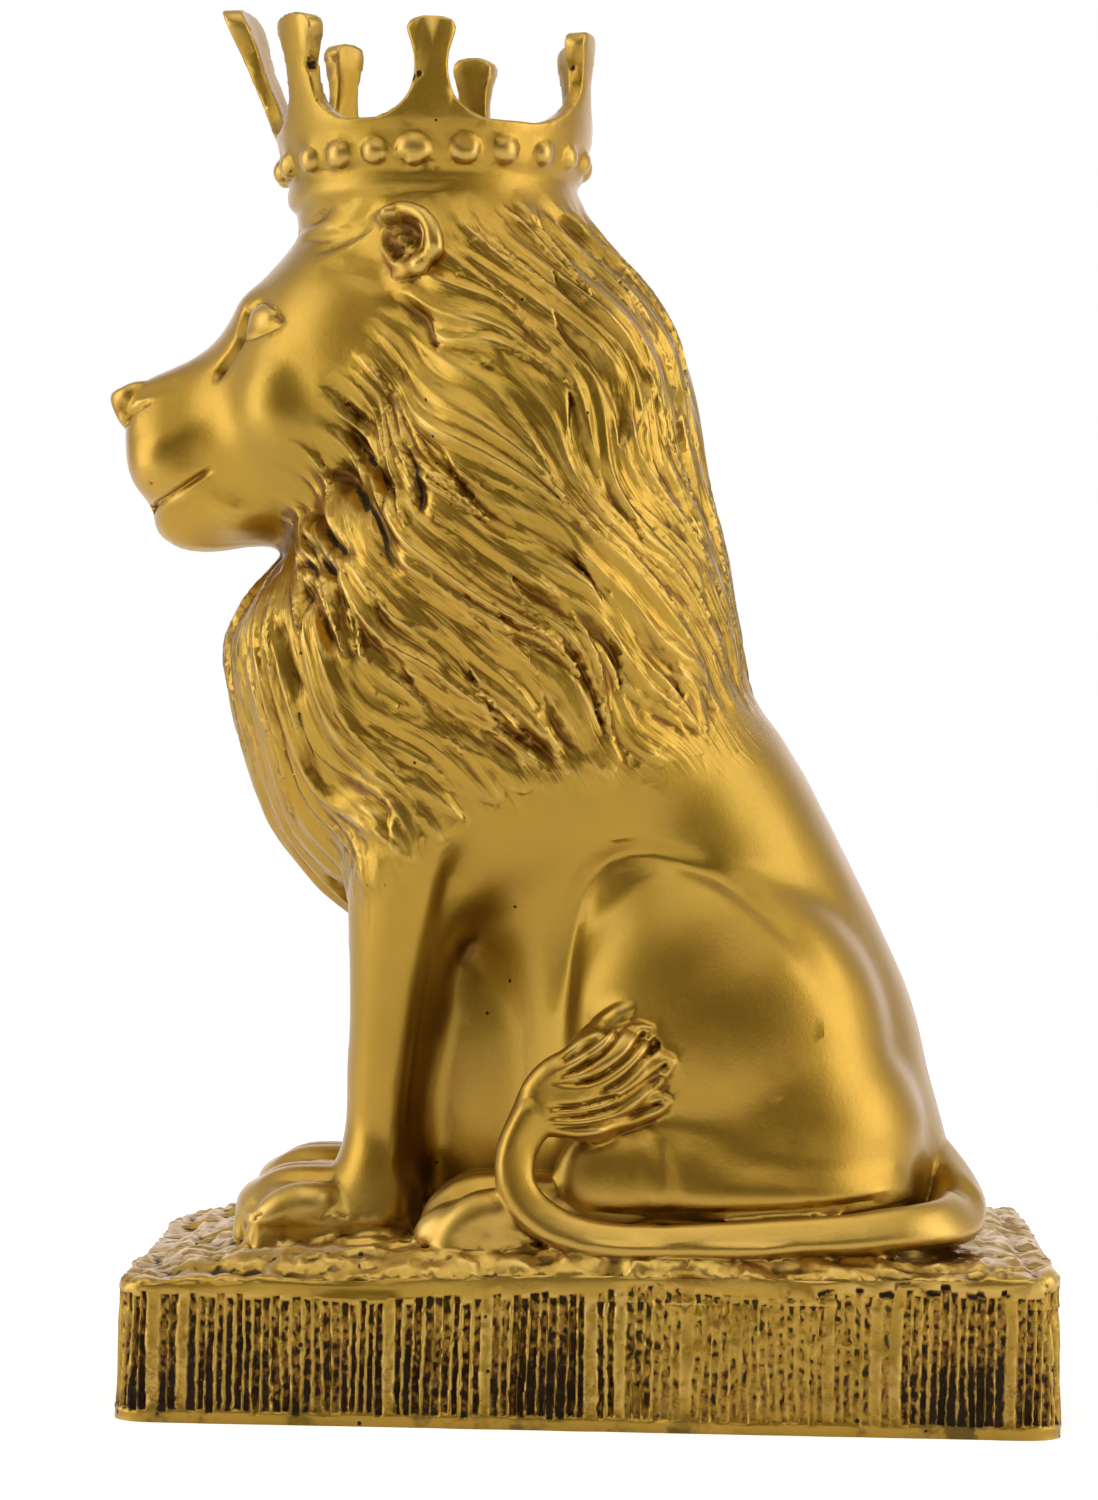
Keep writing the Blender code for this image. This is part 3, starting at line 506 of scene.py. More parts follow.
cx, cy = CROWN_MIDDLE
wire = bpy.data.meshes.new("cup")
wire.from_pydata([(r * MM, 0, z * MM) for r, z in CUP[::-1]], [(i, i + 1) for i in range(len(CUP) - 1)], [])
cup = bpy.data.objects.new("cup", wire)
bpy.context.scene.collection.objects.link(cup)
turned = cup.modifiers.new("Turned", "SCREW")
turned.steps = turned.render_steps = TURNING_STEPS
turned.use_merge_vertices = True
turned.merge_threshold = 0.00002
cup_mesh = bpy.data.meshes.new_from_object(cup.evaluated_get(bpy.context.evaluated_depsgraph_get()))
cup_mesh.transform(Matrix.Translation((cx * MM, cy * MM, 0)))
forms.from_mesh(cup_mesh)
bpy.data.objects.remove(cup)
for degrees, size in BEADS + [(180 - degrees, size) for degrees, size in BEADS]:
    angle = math.radians(degrees)
    rise = BEAD_HEIGHT + BEAD_TILT * math.sin(angle)
    place = (cx + BEAD_RING * math.cos(angle), cy + BEAD_RING * math.sin(angle), rise)
    add_ellipsoid(forms, place, (BEAD_DEPTH, size, size), (0, 0, degrees))
for degrees, tip, lean, foot, knob in SPIKES:
    centre = math.radians(degrees)
    rings = []
    for share, half in SPIKE_OUTLINE:
        z = CROWN_RIM - 1.0 + share * (tip - CROWN_RIM + 1.0)
        outer = CROWN_RADIUS + 4.0 + lean * share
        half = half * (foot + (knob - foot) * smooth_step(0.15, 0.5, share))
        turns = [centre + half / outer * f for f in (-1, -0.75, -0.4, 0, 0.4, 0.75, 1)]
        thick = CROWN_WALL + 0.2 + 1.4 * smooth_step(0.45, 0.85, share)
        inner = outer - thick
        ring = [(cx + outer * math.cos(t), cy + outer * math.sin(t), z) for t in turns]
        ring += [(cx + inner * math.cos(t), cy + inner * math.sin(t), z) for t in turns[::-1]]
        rings.append(np.array(ring))
    add_loft(forms, rings)

SKIN_VOXEL = 0.65
SKIN_MELT = 3
skin = fused(forms, "skin", SKIN_VOXEL, SKIN_MELT)

# The plinth's sides, the face and the tuft get smaller faces for their fine lines
FACE_REAR = -81
FACE_HEIGHTS = (226, 287)
TUFT_INNER = 54
TUFT_LENGTH = (-16, 24)
TUFT_HEIGHTS = (68, 108)


def within(value, limits):
    """Whether a value in metres lies between two limits in millimetres."""
    return limits[0] * MM < value < limits[1] * MM


finer = bmesh.new()
finer.from_mesh(skin)
inner_x, inner_y = (PLINTH_WIDTH / 2 - 3) * MM, (PLINTH_LENGTH / 2 - 3) * MM
chosen = {v for v in finer.verts if within(v.co.z, (-1, PLINTH_WALL + 3))
          and (abs(v.co.x) > inner_x or abs(v.co.y) > inner_y)}
chosen |= {v for v in finer.verts if v.co.y < FACE_REAR * MM and within(v.co.z, FACE_HEIGHTS)}
chosen |= {v for v in finer.verts if v.co.x > TUFT_INNER * MM and within(v.co.y, TUFT_LENGTH)
           and within(v.co.z, TUFT_HEIGHTS)}
edges = [e for e in finer.edges if e.verts[0] in chosen and e.verts[1] in chosen]
bmesh.ops.subdivide_edges(finer, edges=edges, cuts=1, use_grid_fill=True)
finer.to_mesh(skin)
finer.free()


# The carving was cut in the model that the mould was taken from. Here it moves the skin's own points:
# locks of the mane, cut lines of the face and flanks, the ears' hollows, the scored sides of the
# plinth and its rough top.

def scatter(i, j=0):
    """A fixed number from 0 to 1 for each pair of whole numbers."""
    value = np.sin(np.asarray(i) * 12.9898 + np.asarray(j) * 78.233) * 43758.5453
    return value - np.floor(value)


def soft_noise(points, size, seed=0):
    """Smooth noise from -1 to 1 with features of the given size, one size or one an axis."""
    place = points / size + seed * 17.3
    cell = np.floor(place)
    part = place - cell
    part = part * part * (3 - 2 * part)
    total = 0
    for corner in np.ndindex(2, 2, 2):
        near = cell + corner
        weight = np.prod(np.where(corner, part, 1 - part), axis=1)
        total = total + weight * scatter(near[:, 0] + 57 * near[:, 1], near[:, 2])
    return 2 * total - 1


def near_line(places, line, reach):
    """Gap from each place to a smooth curve, and how far along the curve, 0 to 1, its nearest place lies."""
    path = smooth_path(line, 6)
    gap, along = np.full(len(places), 1e9), np.zeros(len(places))
    close = np.all((places > path.min(0) - reach) & (places < path.max(0) + reach), axis=1)
    chosen = places[close]
    best, share = np.full(len(chosen), 1e9), np.zeros(len(chosen))
    for i, (start, end) in enumerate(zip(path, path[1:])):
        way = end - start
        t = np.clip((chosen - start) @ way / (way @ way), 0, 1)
        off = chosen - start - t[:, None] * way
        far = (off * off).sum(1)
        nearer = far < best
        best = np.where(nearer, far, best)
        share = np.where(nearer, (i + t) / (len(path) - 1), share)
    gap[close] = np.sqrt(best)
    along[close] = share
    return gap, along


# The mane is mapped round an upright axis: girth across, at a radius near the mane's own, and height
MANE_MIDDLE = -30.0
MANE_GIRTH = 50.0
MAP_SIZE = (159, 205)
MAP_FLOOR = 112
MAP_CEILING = 313
# Guides of the hair on one side, from hairline to lower edge: degrees round from the front, height
GUIDES = [
    [(0, 223), (0, 206), (0, 188), (0, 164), (0, 140), (0, 117)],
    [(6, 223), (11, 209), (14, 194), (17, 180), (20, 166), (20, 153), (17, 138), (10, 118)],
    [(13, 225), (27, 211), (35, 195), (40, 182), (46, 170), (53, 158), (60, 147), (64, 133)],
    [(23, 233), (28, 222), (41, 211), (51, 198), (58, 187), (66, 175), (78, 163), (91, 151)],
    [(34, 245), (40, 232), (55, 219), (67, 209), (75, 198), (83, 186), (95, 176), (108, 167), (118, 158)],
    [(43, 260), (57, 245), (69, 231), (77, 219), (87, 208), (99, 200), (111, 194), (121, 186),
     (129, 174), (136, 162)],
    [(50, 274), (66, 264), (82, 250), (94, 238), (104, 228), (115, 220), (127, 214), (137, 206),
     (145, 194), (150, 180), (153, 168)],
    [(59, 288), (77, 285), (92, 277), (101, 266), (106, 254), (112, 241), (121, 231), (132, 221),
     (143, 210), (151, 197), (157, 184), (161, 173)],
    [(74, 307), (88, 294), (102, 282), (112, 269), (119, 255), (127, 241), (137, 227), (147, 213),
     (155, 199), (161, 186), (165, 174)],
    [(98, 309), (114, 297), (126, 283), (135, 268), (142, 253), (149, 238), (155, 223), (161, 208),
     (166, 194), (170, 180), (172, 172)],
    [(136, 310), (145, 299), (152, 284), (157, 268), (162, 250), (166, 232), (170, 214), (173, 196),
     (175, 182), (176, 170)],
    [(180, 311), (180, 296), (180, 270), (180, 240), (180, 208), (180, 184), (180, 168)],
]


def mane_girth(x, y):
    """How far round the mane a place lies from the front, on either side."""
    return np.arctan2(np.abs(x), -(y - MANE_MIDDLE)) * MANE_GIRTH


def mane_map():
    """Grid over one side: place across and along the hair, hair left below, crowding, gap outside."""
    steps = 140
    runs = []
    for guide in GUIDES:
        path = smooth_path(guide, 8)
        flat = np.stack([np.radians(path[:, 0]) * MANE_GIRTH, path[:, 1]], 1)
        run = np.concatenate([[0], np.cumsum(np.linalg.norm(np.diff(flat, axis=0), axis=1))])
        t = np.linspace(0, run[-1], steps)
        runs.append(np.stack([np.interp(t, run, flat[:, 0]), np.interp(t, run, flat[:, 1]), t, run[-1] - t]))
    sheet = smooth_path(np.array(runs).reshape(len(runs), -1), 24).reshape(-1, 4, steps)
    gaps = np.linalg.norm(np.diff(sheet[:, :2], axis=0), axis=1).mean(1)
    across = np.concatenate([[0], np.cumsum(gaps)])
    crowd = np.linalg.norm(np.diff(sheet[:, :2], axis=0), axis=1) / gaps[:, None]
    crowd = np.vstack([crowd, crowd[-1:]])
    place = np.stack([sheet[:, 0].ravel(), sheet[:, 1].ravel()], 1)
    value = np.stack([np.repeat(across, steps), sheet[:, 2].ravel(), sheet[:, 3].ravel(), crowd.ravel()], 1)
    tree = KDTree(len(place))
    for i, (girth, height) in enumerate(place):
        tree.insert((girth, height, 0), i)
    tree.balance()
    grid = np.zeros((MAP_SIZE[0], MAP_SIZE[1], 5))
    for i in range(MAP_SIZE[0]):
        for j in range(MAP_SIZE[1]):
            found = tree.find_n((i, MAP_FLOOR + j, 0), 4)
            weight = np.array([1 / (gap + 0.05) for _, _, gap in found])
            near = value[[index for _, index, _ in found]]
            grid[i, j, :4] = weight @ near / weight.sum()
            grid[i, j, 4] = found[0][2]
    return grid


def read_map(grid, girth, height):
    """Values of the grid at any place, by straight interpolation."""
    a = np.clip(girth, 0, MAP_SIZE[0] - 1.001)
    b = np.clip(height - MAP_FLOOR, 0, MAP_SIZE[1] - 1.001)
    i, j = a.astype(int), b.astype(int)
    p, q = (a - i)[:, None], (b - j)[:, None]
    return ((grid[i, j] * (1 - p) + grid[i + 1, j] * p) * (1 - q)
            + (grid[i, j + 1] * (1 - p) + grid[i + 1, j + 1] * p) * q)


# Width, length and depth of the pointed hollows between strands
HOLLOW_WIDTH = 8.5
HOLLOW_LENGTH = 38
HOLLOW_DEPTH = 2.0
# Width, length, rise, lean and strands of each layer of locks
LOCKS = [(15.0, 84, 4.2, 0.6, 2.0), (10.0, 62, 3.6, -0.5, 1.5), (6.5, 46, 2.6, 0.4, 0.5)]


def hair_bend(across, along, seed):
    """Place across the hair once the waves of the strands are taken in."""
    wave = 3.2 * np.sin(along / 12 + across / 25 + seed)
    return across + wave + 0.7 * np.sin(along / 6.5 + across / 10)


def lock_height(across, along, left, crowd, seed):
    """Height of overlapping pointed locks, each split into strands that meet at its tip."""
    bend = hair_bend(across, along, seed)
    height = np.zeros(len(across))
    plain = smooth_step(0.35, 0.75, crowd)
    for k, (width, length, rise, lean, strands) in enumerate(LOCKS):
        column = np.floor(bend / width)
        room = smooth_step(2.5, 6.5, width * crowd)
        for side in (-1, 0, 1):
            row_of = column + side
            middle = (row_of + 0.5 + 0.45 * (scatter(row_of, seed + k) - 0.5)) * width
            shift = scatter(row_of, seed + k + 9) * length
            turn = (along + shift) / length
            ahead = left - 10 * scatter(row_of, seed + k + 4)
            for back in (0, 1):
                part = (turn - np.floor(turn) + back) / 1.45
                row = np.floor(turn) - back
                own = scatter(row_of * 7 + row, seed + k + 21)
                spread = width * (0.6 + 0.22 * own) * np.clip(part * 3.5, 0.2, 1)
                spread = spread * np.clip((1 - part) * 2.0, 0, 1) ** 0.8 * np.clip(ahead / 16, 0, 1) ** 0.6
                curl = lean * (0.6 + 0.8 * own) * width * (part - 0.5) + 1.6 * np.sin(part * 5 + own * 6)
                off = (bend - middle - curl) / np.maximum(spread, 0.01)
                body = np.clip(1 - off * off, 0, 1) ** 0.62 * (1 + 0.35 * off * np.sign(own - 0.5))
                ridge = 0.5 - 0.5 * np.cos(2 * math.pi * (strands * off + own))
                fine = 0.5 - 0.5 * np.cos(2 * math.pi * (bend / 3.1 + own * 3 + 0.3 * np.sin(along / 14)))
                lift = rise * room * (0.6 + 0.6 * own) * (0.35 + 0.65 * np.clip(part * 1.7, 0, 1))
                lift = lift * (0.3 + 0.7 * smooth_step(0, 18, ahead)) * np.clip(crowd * 1.3, 0, 1)
                height = np.maximum(height, lift * body * (0.64 + 0.36 * ridge)
                                    + 0.32 * plain * fine * np.sqrt(np.clip(body, 0, 1)))
    # Pointed hollows lie between some of the strands
    lane = np.floor(bend / HOLLOW_WIDTH)
    turn = (along + HOLLOW_LENGTH * scatter(lane, seed + 61)) / HOLLOW_LENGTH
    row = np.floor(turn)
    off = bend / HOLLOW_WIDTH - lane - 0.5 + 0.2 * np.sin(turn * 6.3)
    off = off / (0.36 * np.sin(math.pi * (turn - row)) + 0.01)
    cut = np.clip(1 - off * off, 0, 1) * (scatter(lane * 5 + row, seed + 63) > 0.64)
    return height - HOLLOW_DEPTH * plain * cut * smooth_step(6, 16, left)


# The cleft of the upper lip, on the middle line: depth, width, line
LIP_CLEFT = (0.9, 1.2, [(0, -129, 249), (0, -127, 240), (0, -121, 231)])
# Shallow round hollows and swellings of the face: depth, radius, place
FACE_SPOTS = [
    (0.9, 6.8, (32, -78.7, 260)),
    (1.1, 2.0, (6, -128.2, 256.4)),
    (-0.6, 6.0, (34, -70, 268)),
    (-0.6, 8.0, (26, -90, 262)),
    (0.8, 5.5, (19, -110, 243.5)),
]

# Strokes seen from the side, as y and z: depth, width, line. A negative depth raises a ridge
SIDE_STROKES = [
    (1.7, 0.8, [(-126, 226.5), (-122, 229.2), (-118.3, 230.9), (-115.2, 232.2), (-110.8, 234.5),
                 (-106.5, 237.6), (-104.0, 239.2), (-102, 240.5)]),
    (1.5, 0.75, [(-127.6, 251.6), (-126.0, 254.9), (-123.4, 256.8), (-119.6, 258.4)]),
    (0.5, 1.6, [(-124.5, 259.8), (-119, 261.4), (-112, 263.4)]),
    (0.9, 0.5, [(-95.9, 275.6), (-94.9, 278.8), (-93.7, 281.6), (-91.9, 283.6), (-89.5, 284.0),
                 (-86.9, 282.5), (-84.6, 279.9), (-82.4, 277.2)]),
    (0.6, 0.5, [(-96.0, 273.4), (-92.5, 274.0), (-89, 275.0), (-86, 276.0), (-82.4, 277.2)]),
    (2.3, 0.95, [(-94.0, 283.0), (-94.7, 280.5), (-95.3, 277.5), (-95.6, 275), (-96, 272.5)]),
    (0.8, 0.8, [(-86.2, 280.2), (-84.8, 278.8), (-83.4, 277.5)]),
    (2.3, 1.0, [(-95.2, 275), (-97.4, 271), (-100.4, 266.8), (-102.4, 263.4)]),
    (1.3, 1.2, [(-80.7, 300.6), (-70.1, 301.2), (-59, 306)]),
    (1.5, 1.3, [(-77.2, 296.3), (-67, 299.2), (-59.5, 303)]),
    (1.1, 1.0, [(-83, 303.5), (-76, 305.5), (-70, 309)]),
    (0.9, 0.9, [(-78, 299), (-69, 300.2), (-60, 304.6)]),
    (0.6, 1.5, [(-68, 295), (-61.4, 294), (-55, 291)]),
    (0.9, 1.4, [(-74, 303.8), (-65, 305), (-58, 308)]),
    (0.8, 1.4, [(-79, 305), (-71, 306.3), (-65, 309)]),
    (0.6, 2.0, [(-74, 292.5), (-64, 289.5), (-54, 286)]),
    (1.2, 1.6, [(-69, 259), (-61.1, 248.2), (-55.9, 240.6), (-49.6, 229)]),
    (1.0, 1.6, [(-71.5, 263), (-66, 256), (-61, 250)]),
    (-1.4, 3.6, [(-60, 284.5), (-46.5, 283.5), (-35, 278.2), (-27.6, 270), (-24.4, 260.5), (-23.4, 248)]),
    (1.3, 4.2, [(-42, 291), (-28, 284), (-19, 274), (-14, 260)]),
    (4.0, 4.8, [(-33.0, 146), (-34.8, 136), (-36.5, 127), (-38.6, 112), (-40.9, 95.9), (-43, 78),
                (-44.5, 62), (-45, 54)]),
    (1.7, 2.8, [(-6.5, 80), (-7.8, 98), (-7.4, 116), (-4.4, 130.5), (1.8, 138.6), (11, 142.0), (22, 140.4),
                (33, 135.8), (44, 127.5), (54, 117), (62, 104)]),
    (1.0, 1.3, [(-4, 53), (14, 51.8), (40, 53.4), (64, 55.2), (82, 58)]),
    (-0.7, 2.2, [(-8, 46.5), (14, 44.6), (40, 45.2), (64, 46.6), (82, 48.5)]),
    (-0.5, 2.4, [(12.5, 74), (14.0, 66), (15.4, 58), (16, 50)]),
    (0.8, 2.4, [(17.2, 72), (18.6, 62), (19.4, 50)]),
]
# Deep hollows of the mane beside the jaw, in the same way; black wash stays in them
DEEP_STROKES = [
    (5.0, 2.6, [(-69, 241), (-63.3, 234.5), (-56.4, 224.3), (-51.0, 210.5)]),
    (3.6, 1.7, [(-76.2, 232), (-70, 222.5), (-62, 215)]),
    (3.2, 1.6, [(-77.5, 222.5), (-71.6, 215.6), (-65.4, 210.5)]),
    (3.4, 1.6, [(-66.2, 251), (-58.3, 240.5), (-50.3, 229.5)]),
    (4.6, 1.9, [(-76.5, 211), (-71.9, 201.8), (-66.6, 191)]),
    (3.6, 1.5, [(-79.4, 216.5), (-74.4, 214.6), (-71.5, 210.4)]),
    (2.8, 1.3, [(-50, 247), (-46, 236), (-45, 226)]),
    (2.6, 1.2, [(-83, 201), (-80, 190), (-76, 180)]),
]
# Depth of the tuft's cut lines and height of the burr beside them
TUFT_CUT = 1.5
TUFT_BURR = 0.35
# Cut lines of the tuft, as y and z
TUFT_STROKES = [
    [(-9.1, 85.9), (-2.7, 89.1), (4.2, 94.2), (9.1, 102.7)],
    [(-10.1, 84.9), (0.3, 86.1), (8.2, 91.2), (13.1, 97.3)],
    [(0.4, 81.6), (8.3, 86.3), (16.2, 94.4)],
    [(4.4, 79.7), (12.3, 84.3), (18.7, 89.4)],
    [(-10.5, 78.9), (-2.5, 79.6), (6, 82)],
    [(-11.0, 76.4), (-3.5, 77.1), (6.4, 79.3), (17.3, 86.4)],
    [(-10.9, 74.4), (-2.5, 74.1), (8.5, 76.3), (17.4, 79.9)],
    [(-8.2, 90.3), (-1.8, 94.0), (5.1, 99.2)],
]


def read_skin(mesh):
    """Places in millimetres and facings of a mesh's points, and both ends of its edges, each way round."""
    places, facings = np.empty(len(mesh.vertices) * 3), np.empty(len(mesh.vertices) * 3)
    mesh.vertices.foreach_get("co", places)
    mesh.vertex_normals.foreach_get("vector", facings)
    pairs = np.empty(len(mesh.edges) * 2, int)
    mesh.edges.foreach_get("vertices", pairs)
    joined = np.concatenate([pairs[::2], pairs[1::2]]), np.concatenate([pairs[1::2], pairs[::2]])
    return places.reshape(-1, 3) / MM, facings.reshape(-1, 3), joined


def neighbour_mean(value, joined):
    """Mean of a value over the points that each point's edges lead to."""
    ends, others = joined
    total = np.bincount(ends, weights=value[others], minlength=len(value))
    return total / np.bincount(ends, minlength=len(value))


points, normals, joined = read_skin(skin)
moves = np.zeros(len(points))

grid = mane_map()
hairy = (points[:, 2] > MAP_FLOOR) & (points[:, 2] < MAP_CEILING)
x, y, z = points[hairy].T
across, along, left, crowd, outside = read_map(grid, mane_girth(x, y), z).T
inside = (1 - smooth_step(0.5, 3.5, outside)) * smooth_step(-3, 9, along)
for side in SIDES:
    chosen = (x * side > -4) & (inside > 0)
    height = lock_height(across[chosen], along[chosen], left[chosen], crowd[chosen], side)
    height -= 1.6 * smooth_step(2, 16, left[chosen])
    share = smooth_step(-4, 4, x[chosen] * side)
    where_hair = np.flatnonzero(hairy)[chosen]
    moves[where_hair] += share * inside[chosen] * height

profile = points[:, 1:3]
for side in SIDES:
    flank = points[:, 0] * side > 3
    # Each side cuts half of the cleft
    depth, width, line = LIP_CLEFT
    gap, _ = near_line(points, line, 4 * width)
    moves -= 0.5 * depth * np.exp(-(gap / width) ** 2)
    for depth, radius, (x, y, z) in FACE_SPOTS:
        gap = ((points - (side * x, y, z)) ** 2).sum(1)
        moves -= depth * np.exp(-gap / radius ** 2)
    for depth, width, line in SIDE_STROKES + DEEP_STROKES:
        gap, share = near_line(profile, line, 3 * width)
        taper = smooth_step(-0.05, 0.2, share) * (1 - smooth_step(0.75, 1.05, share))
        moves -= flank * depth * taper * np.exp(-(gap / width) ** 2)
tuft = (points[:, 0] > TUFT_INNER + 3) & (points[:, 2] > TUFT_HEIGHTS[0]) & (points[:, 2] < TUFT_HEIGHTS[1])
for line in TUFT_STROKES:
    gap, share = near_line(profile, line, 4)
    taper = smooth_step(-0.05, 0.3, share)
    cut, burr = np.exp(-(gap / 0.65) ** 2), np.exp(-((gap - 1.8) / 1.0) ** 2)
    moves -= tuft * taper * (TUFT_CUT * cut - TUFT_BURR * burr)

# Nothing made by hand is quite even: the smooth skin keeps faint waves
above_plinth = points[:, 2] > PLINTH_TOP + 2
moves += above_plinth * (0.11 * soft_noise(points, 11.0, 41) + 0.05 * soft_noise(points, 4.5, 43))

# Lines scored with a comb down the sides of the plinth, a plain lip below and a smooth band above.
# Where the wash is darkest and where the comb went shallow is given along the long sides, as y
SCORE_PITCH = 2.35
SCORE_DEPTH = 1.3
DARK_RUNS = [(-123, -76), (-65, -38), (-20, 6), (80, 112)]
SHALLOW_RUN = (10, 66)
# Runs along the ends of the plinth are counted on from here, so that their lines differ
END_RUN = 400


def scored(points):
    """Of the plinth's sides: wall, scored field, grooves, how deep the comb went, torn edge, dark wash."""
    near_x = PLINTH_WIDTH / 2 - np.abs(points[:, 0])
    near_y = PLINTH_LENGTH / 2 - np.abs(points[:, 1])
    wall = np.minimum(near_x, near_y) < 5
    run = np.where(near_x < near_y, points[:, 1], points[:, 0] + END_RUN)
    wander = soft_noise(points, np.array([16.0, 16.0, 34.0]), 3)
    score = run + 1.2 * wander + 0.55 * soft_noise(points, np.array([5.5, 5.5, 20.0]), 6)
    line_of = np.floor(score / SCORE_PITCH)
    gap_width = 0.30 + 0.18 * scatter(line_of, 11)
    ragged = 0.10 * soft_noise(points, np.array([1.7, 1.7, 2.6]), 56)
    ragged = ragged + 0.07 * soft_noise(points, np.array([0.9, 0.9, 1.3]), 57)
    off = score / SCORE_PITCH - line_of - 0.5 + 0.12 * (scatter(line_of, 12) - 0.5) + ragged
    off = np.abs(off) / gap_width
    groove = np.clip(1 - off ** 4, 0, 1) ** 0.6 * (scatter(line_of, 29) < 0.87)
    low = 2.2 + 1.0 * scatter(line_of, 14) + 0.6 * soft_noise(points, 20, 15)
    high = 33.4 + points[:, 1] * PLINTH_RISE / PLINTH_LENGTH + 2.2 * scatter(line_of, 17)
    high = high + 2.0 * soft_noise(points, 30, 18) + 1.0 * soft_noise(points, 9, 20)
    field = wall * smooth_step(low, low + 0.7, points[:, 2])
    field = field * (1 - smooth_step(high - 1.0, high, points[:, 2]))
    start, end = SHALLOW_RUN
    shallow = smooth_step(start, start + 12, run) * (1 - smooth_step(end, end + 16, run))
    deep = 0.65 + 0.5 * scatter(line_of, 23) + 0.35 * soft_noise(points, np.array([34.0, 34.0, 90.0]), 24)
    deep = np.clip(deep, 0.3, 1.3) * (1 - 0.55 * shallow) * (1.1 - 0.010 * points[:, 2])
    edge = wall * np.exp(-((points[:, 2] - high - 0.4) / 0.9) ** 2) * (near_x < near_y)
    torn = smooth_step(0.1, 0.4, soft_noise(points, np.array([3.0, 3.0, 2.2]), 52))
    edge *= torn * smooth_step(30, 70, run)
    dark = 0.55 + 0.4 * soft_noise(points, np.array([30.0, 30.0, 60.0]), 53)
    for start, end in DARK_RUNS:
        inside = smooth_step(start - 4, start + 6, run) * (1 - smooth_step(end - 6, end + 4, run))
        dark = np.maximum(dark, inside)
    dark = dark * (1 - 0.5 * shallow) * (1.22 - 0.86 * smooth_step(5, 29, points[:, 2]))
    dark = dark * (0.6 + 0.4 * scatter(line_of, 54))
    return wall, field, groove, deep, edge, np.maximum(field * (0.15 + 0.85 * groove) * dark, edge)


wall, field, groove, deep, edge, _ = scored(points)
upright = np.abs(normals[:, 2]) < 0.75
broken = 0.85 + 0.25 * soft_noise(points, np.array([1.6, 1.6, 4.0]), 19)
grit = 0.40 * soft_noise(points, 1.3, 33) + 0.28 * soft_noise(points, np.array([0.8, 0.8, 1.6]), 36)
moves -= upright * field * (SCORE_DEPTH * groove * broken * deep + 0.25)
moves += upright * field * (0.25 + 0.75 * groove) * grit
moves += upright * wall * 0.35 * soft_noise(points, 9.0, 31) * (1 - smooth_step(34, 40, points[:, 2]))
brim = (points[:, 2] > PLINTH_WALL - 5) & (points[:, 2] < PLINTH_TOP + 1)
moves += brim * 0.8 * soft_noise(points, np.array([15.0, 15.0, 8.0]), 58)
moves -= upright * 1.2 * edge
moves -= upright * wall * (1 - smooth_step(1.8, 2.8, points[:, 2])) * 0.3

# Brushed lumps and torn hollows over the top of the plinth
top = (normals[:, 2] > 0.35) & (points[:, 2] > PLINTH_WALL - 4) & (points[:, 2] < PLINTH_TOP + 3.5)
top &= ~((points[:, 0] > 58) & (points[:, 2] > PLINTH_TOP + 1.5))
ends = smooth_step(84, 104, np.abs(points[:, 1]))
crosswise = soft_noise(points, np.array([26.0, 3.4, 60.0]), 5)
crosswise = crosswise + 0.6 * soft_noise(points, np.array([12.0, 1.9, 60.0]), 9)
lengthwise = soft_noise(points, np.array([7.0, 16.0, 40.0]), 5)
lengthwise = lengthwise + 0.8 * soft_noise(points, np.array([3.0, 6.5, 40.0]), 8)
ragged = np.abs(soft_noise(points, np.array([3.0, 5.5, 9.0]), 55))
torn = np.clip(soft_noise(points, np.array([4.0, 9.0, 40.0]), 51) - 0.34, 0, 1) * 5.0
moves += top * (1.0 * lengthwise * (1 - ends) + 0.75 * crosswise * ends - np.clip(torn, 0, 1.8))
moves += top * (1.3 * (0.30 - ragged) + 0.32 * soft_noise(points, 1.5, 13))

# Pinholes and nicks left by air bubbles on the near side, as y, z, radius and depth
HOLES = [
    (-76.9, 344.2, 1.5, 2.2), (-50.0, 339.4, 1.0, 1.4), (-48.2, 340.2, 0.8, 1.2), (-10.0, 346.5, 0.7, 1.2),
    (-36.1, 322.9, 1.5, 0.9), (-46.5, 317.6, 1.2, 0.7), (-52.0, 319.0, 1.1, 0.8), (-119.2, 236.2, 0.5, 0.6),
]
near_side = (points[:, 0] > 0) & (normals[:, 0] > 0.1)
for hole_y, hole_z, radius, depth in HOLES:
    gap = (points[:, 1] - hole_y) ** 2 + (points[:, 2] - hole_z) ** 2
    moves -= near_side * depth * np.exp(-gap / radius ** 2)

# In the hair, single points are evened out with their neighbours, most near the middle line
in_hair = (points[:, 2] > MAP_FLOOR) & ~((points[:, 1] < FACE_REAR) & (points[:, 2] > FACE_HEIGHTS[0]))
own = 0.42 + 0.18 * smooth_step(20, 36, np.abs(points[:, 0]))
moves = np.where(in_hair, own * moves + (1 - own) * neighbour_mean(moves, joined), moves)
points += normals * moves[:, None]

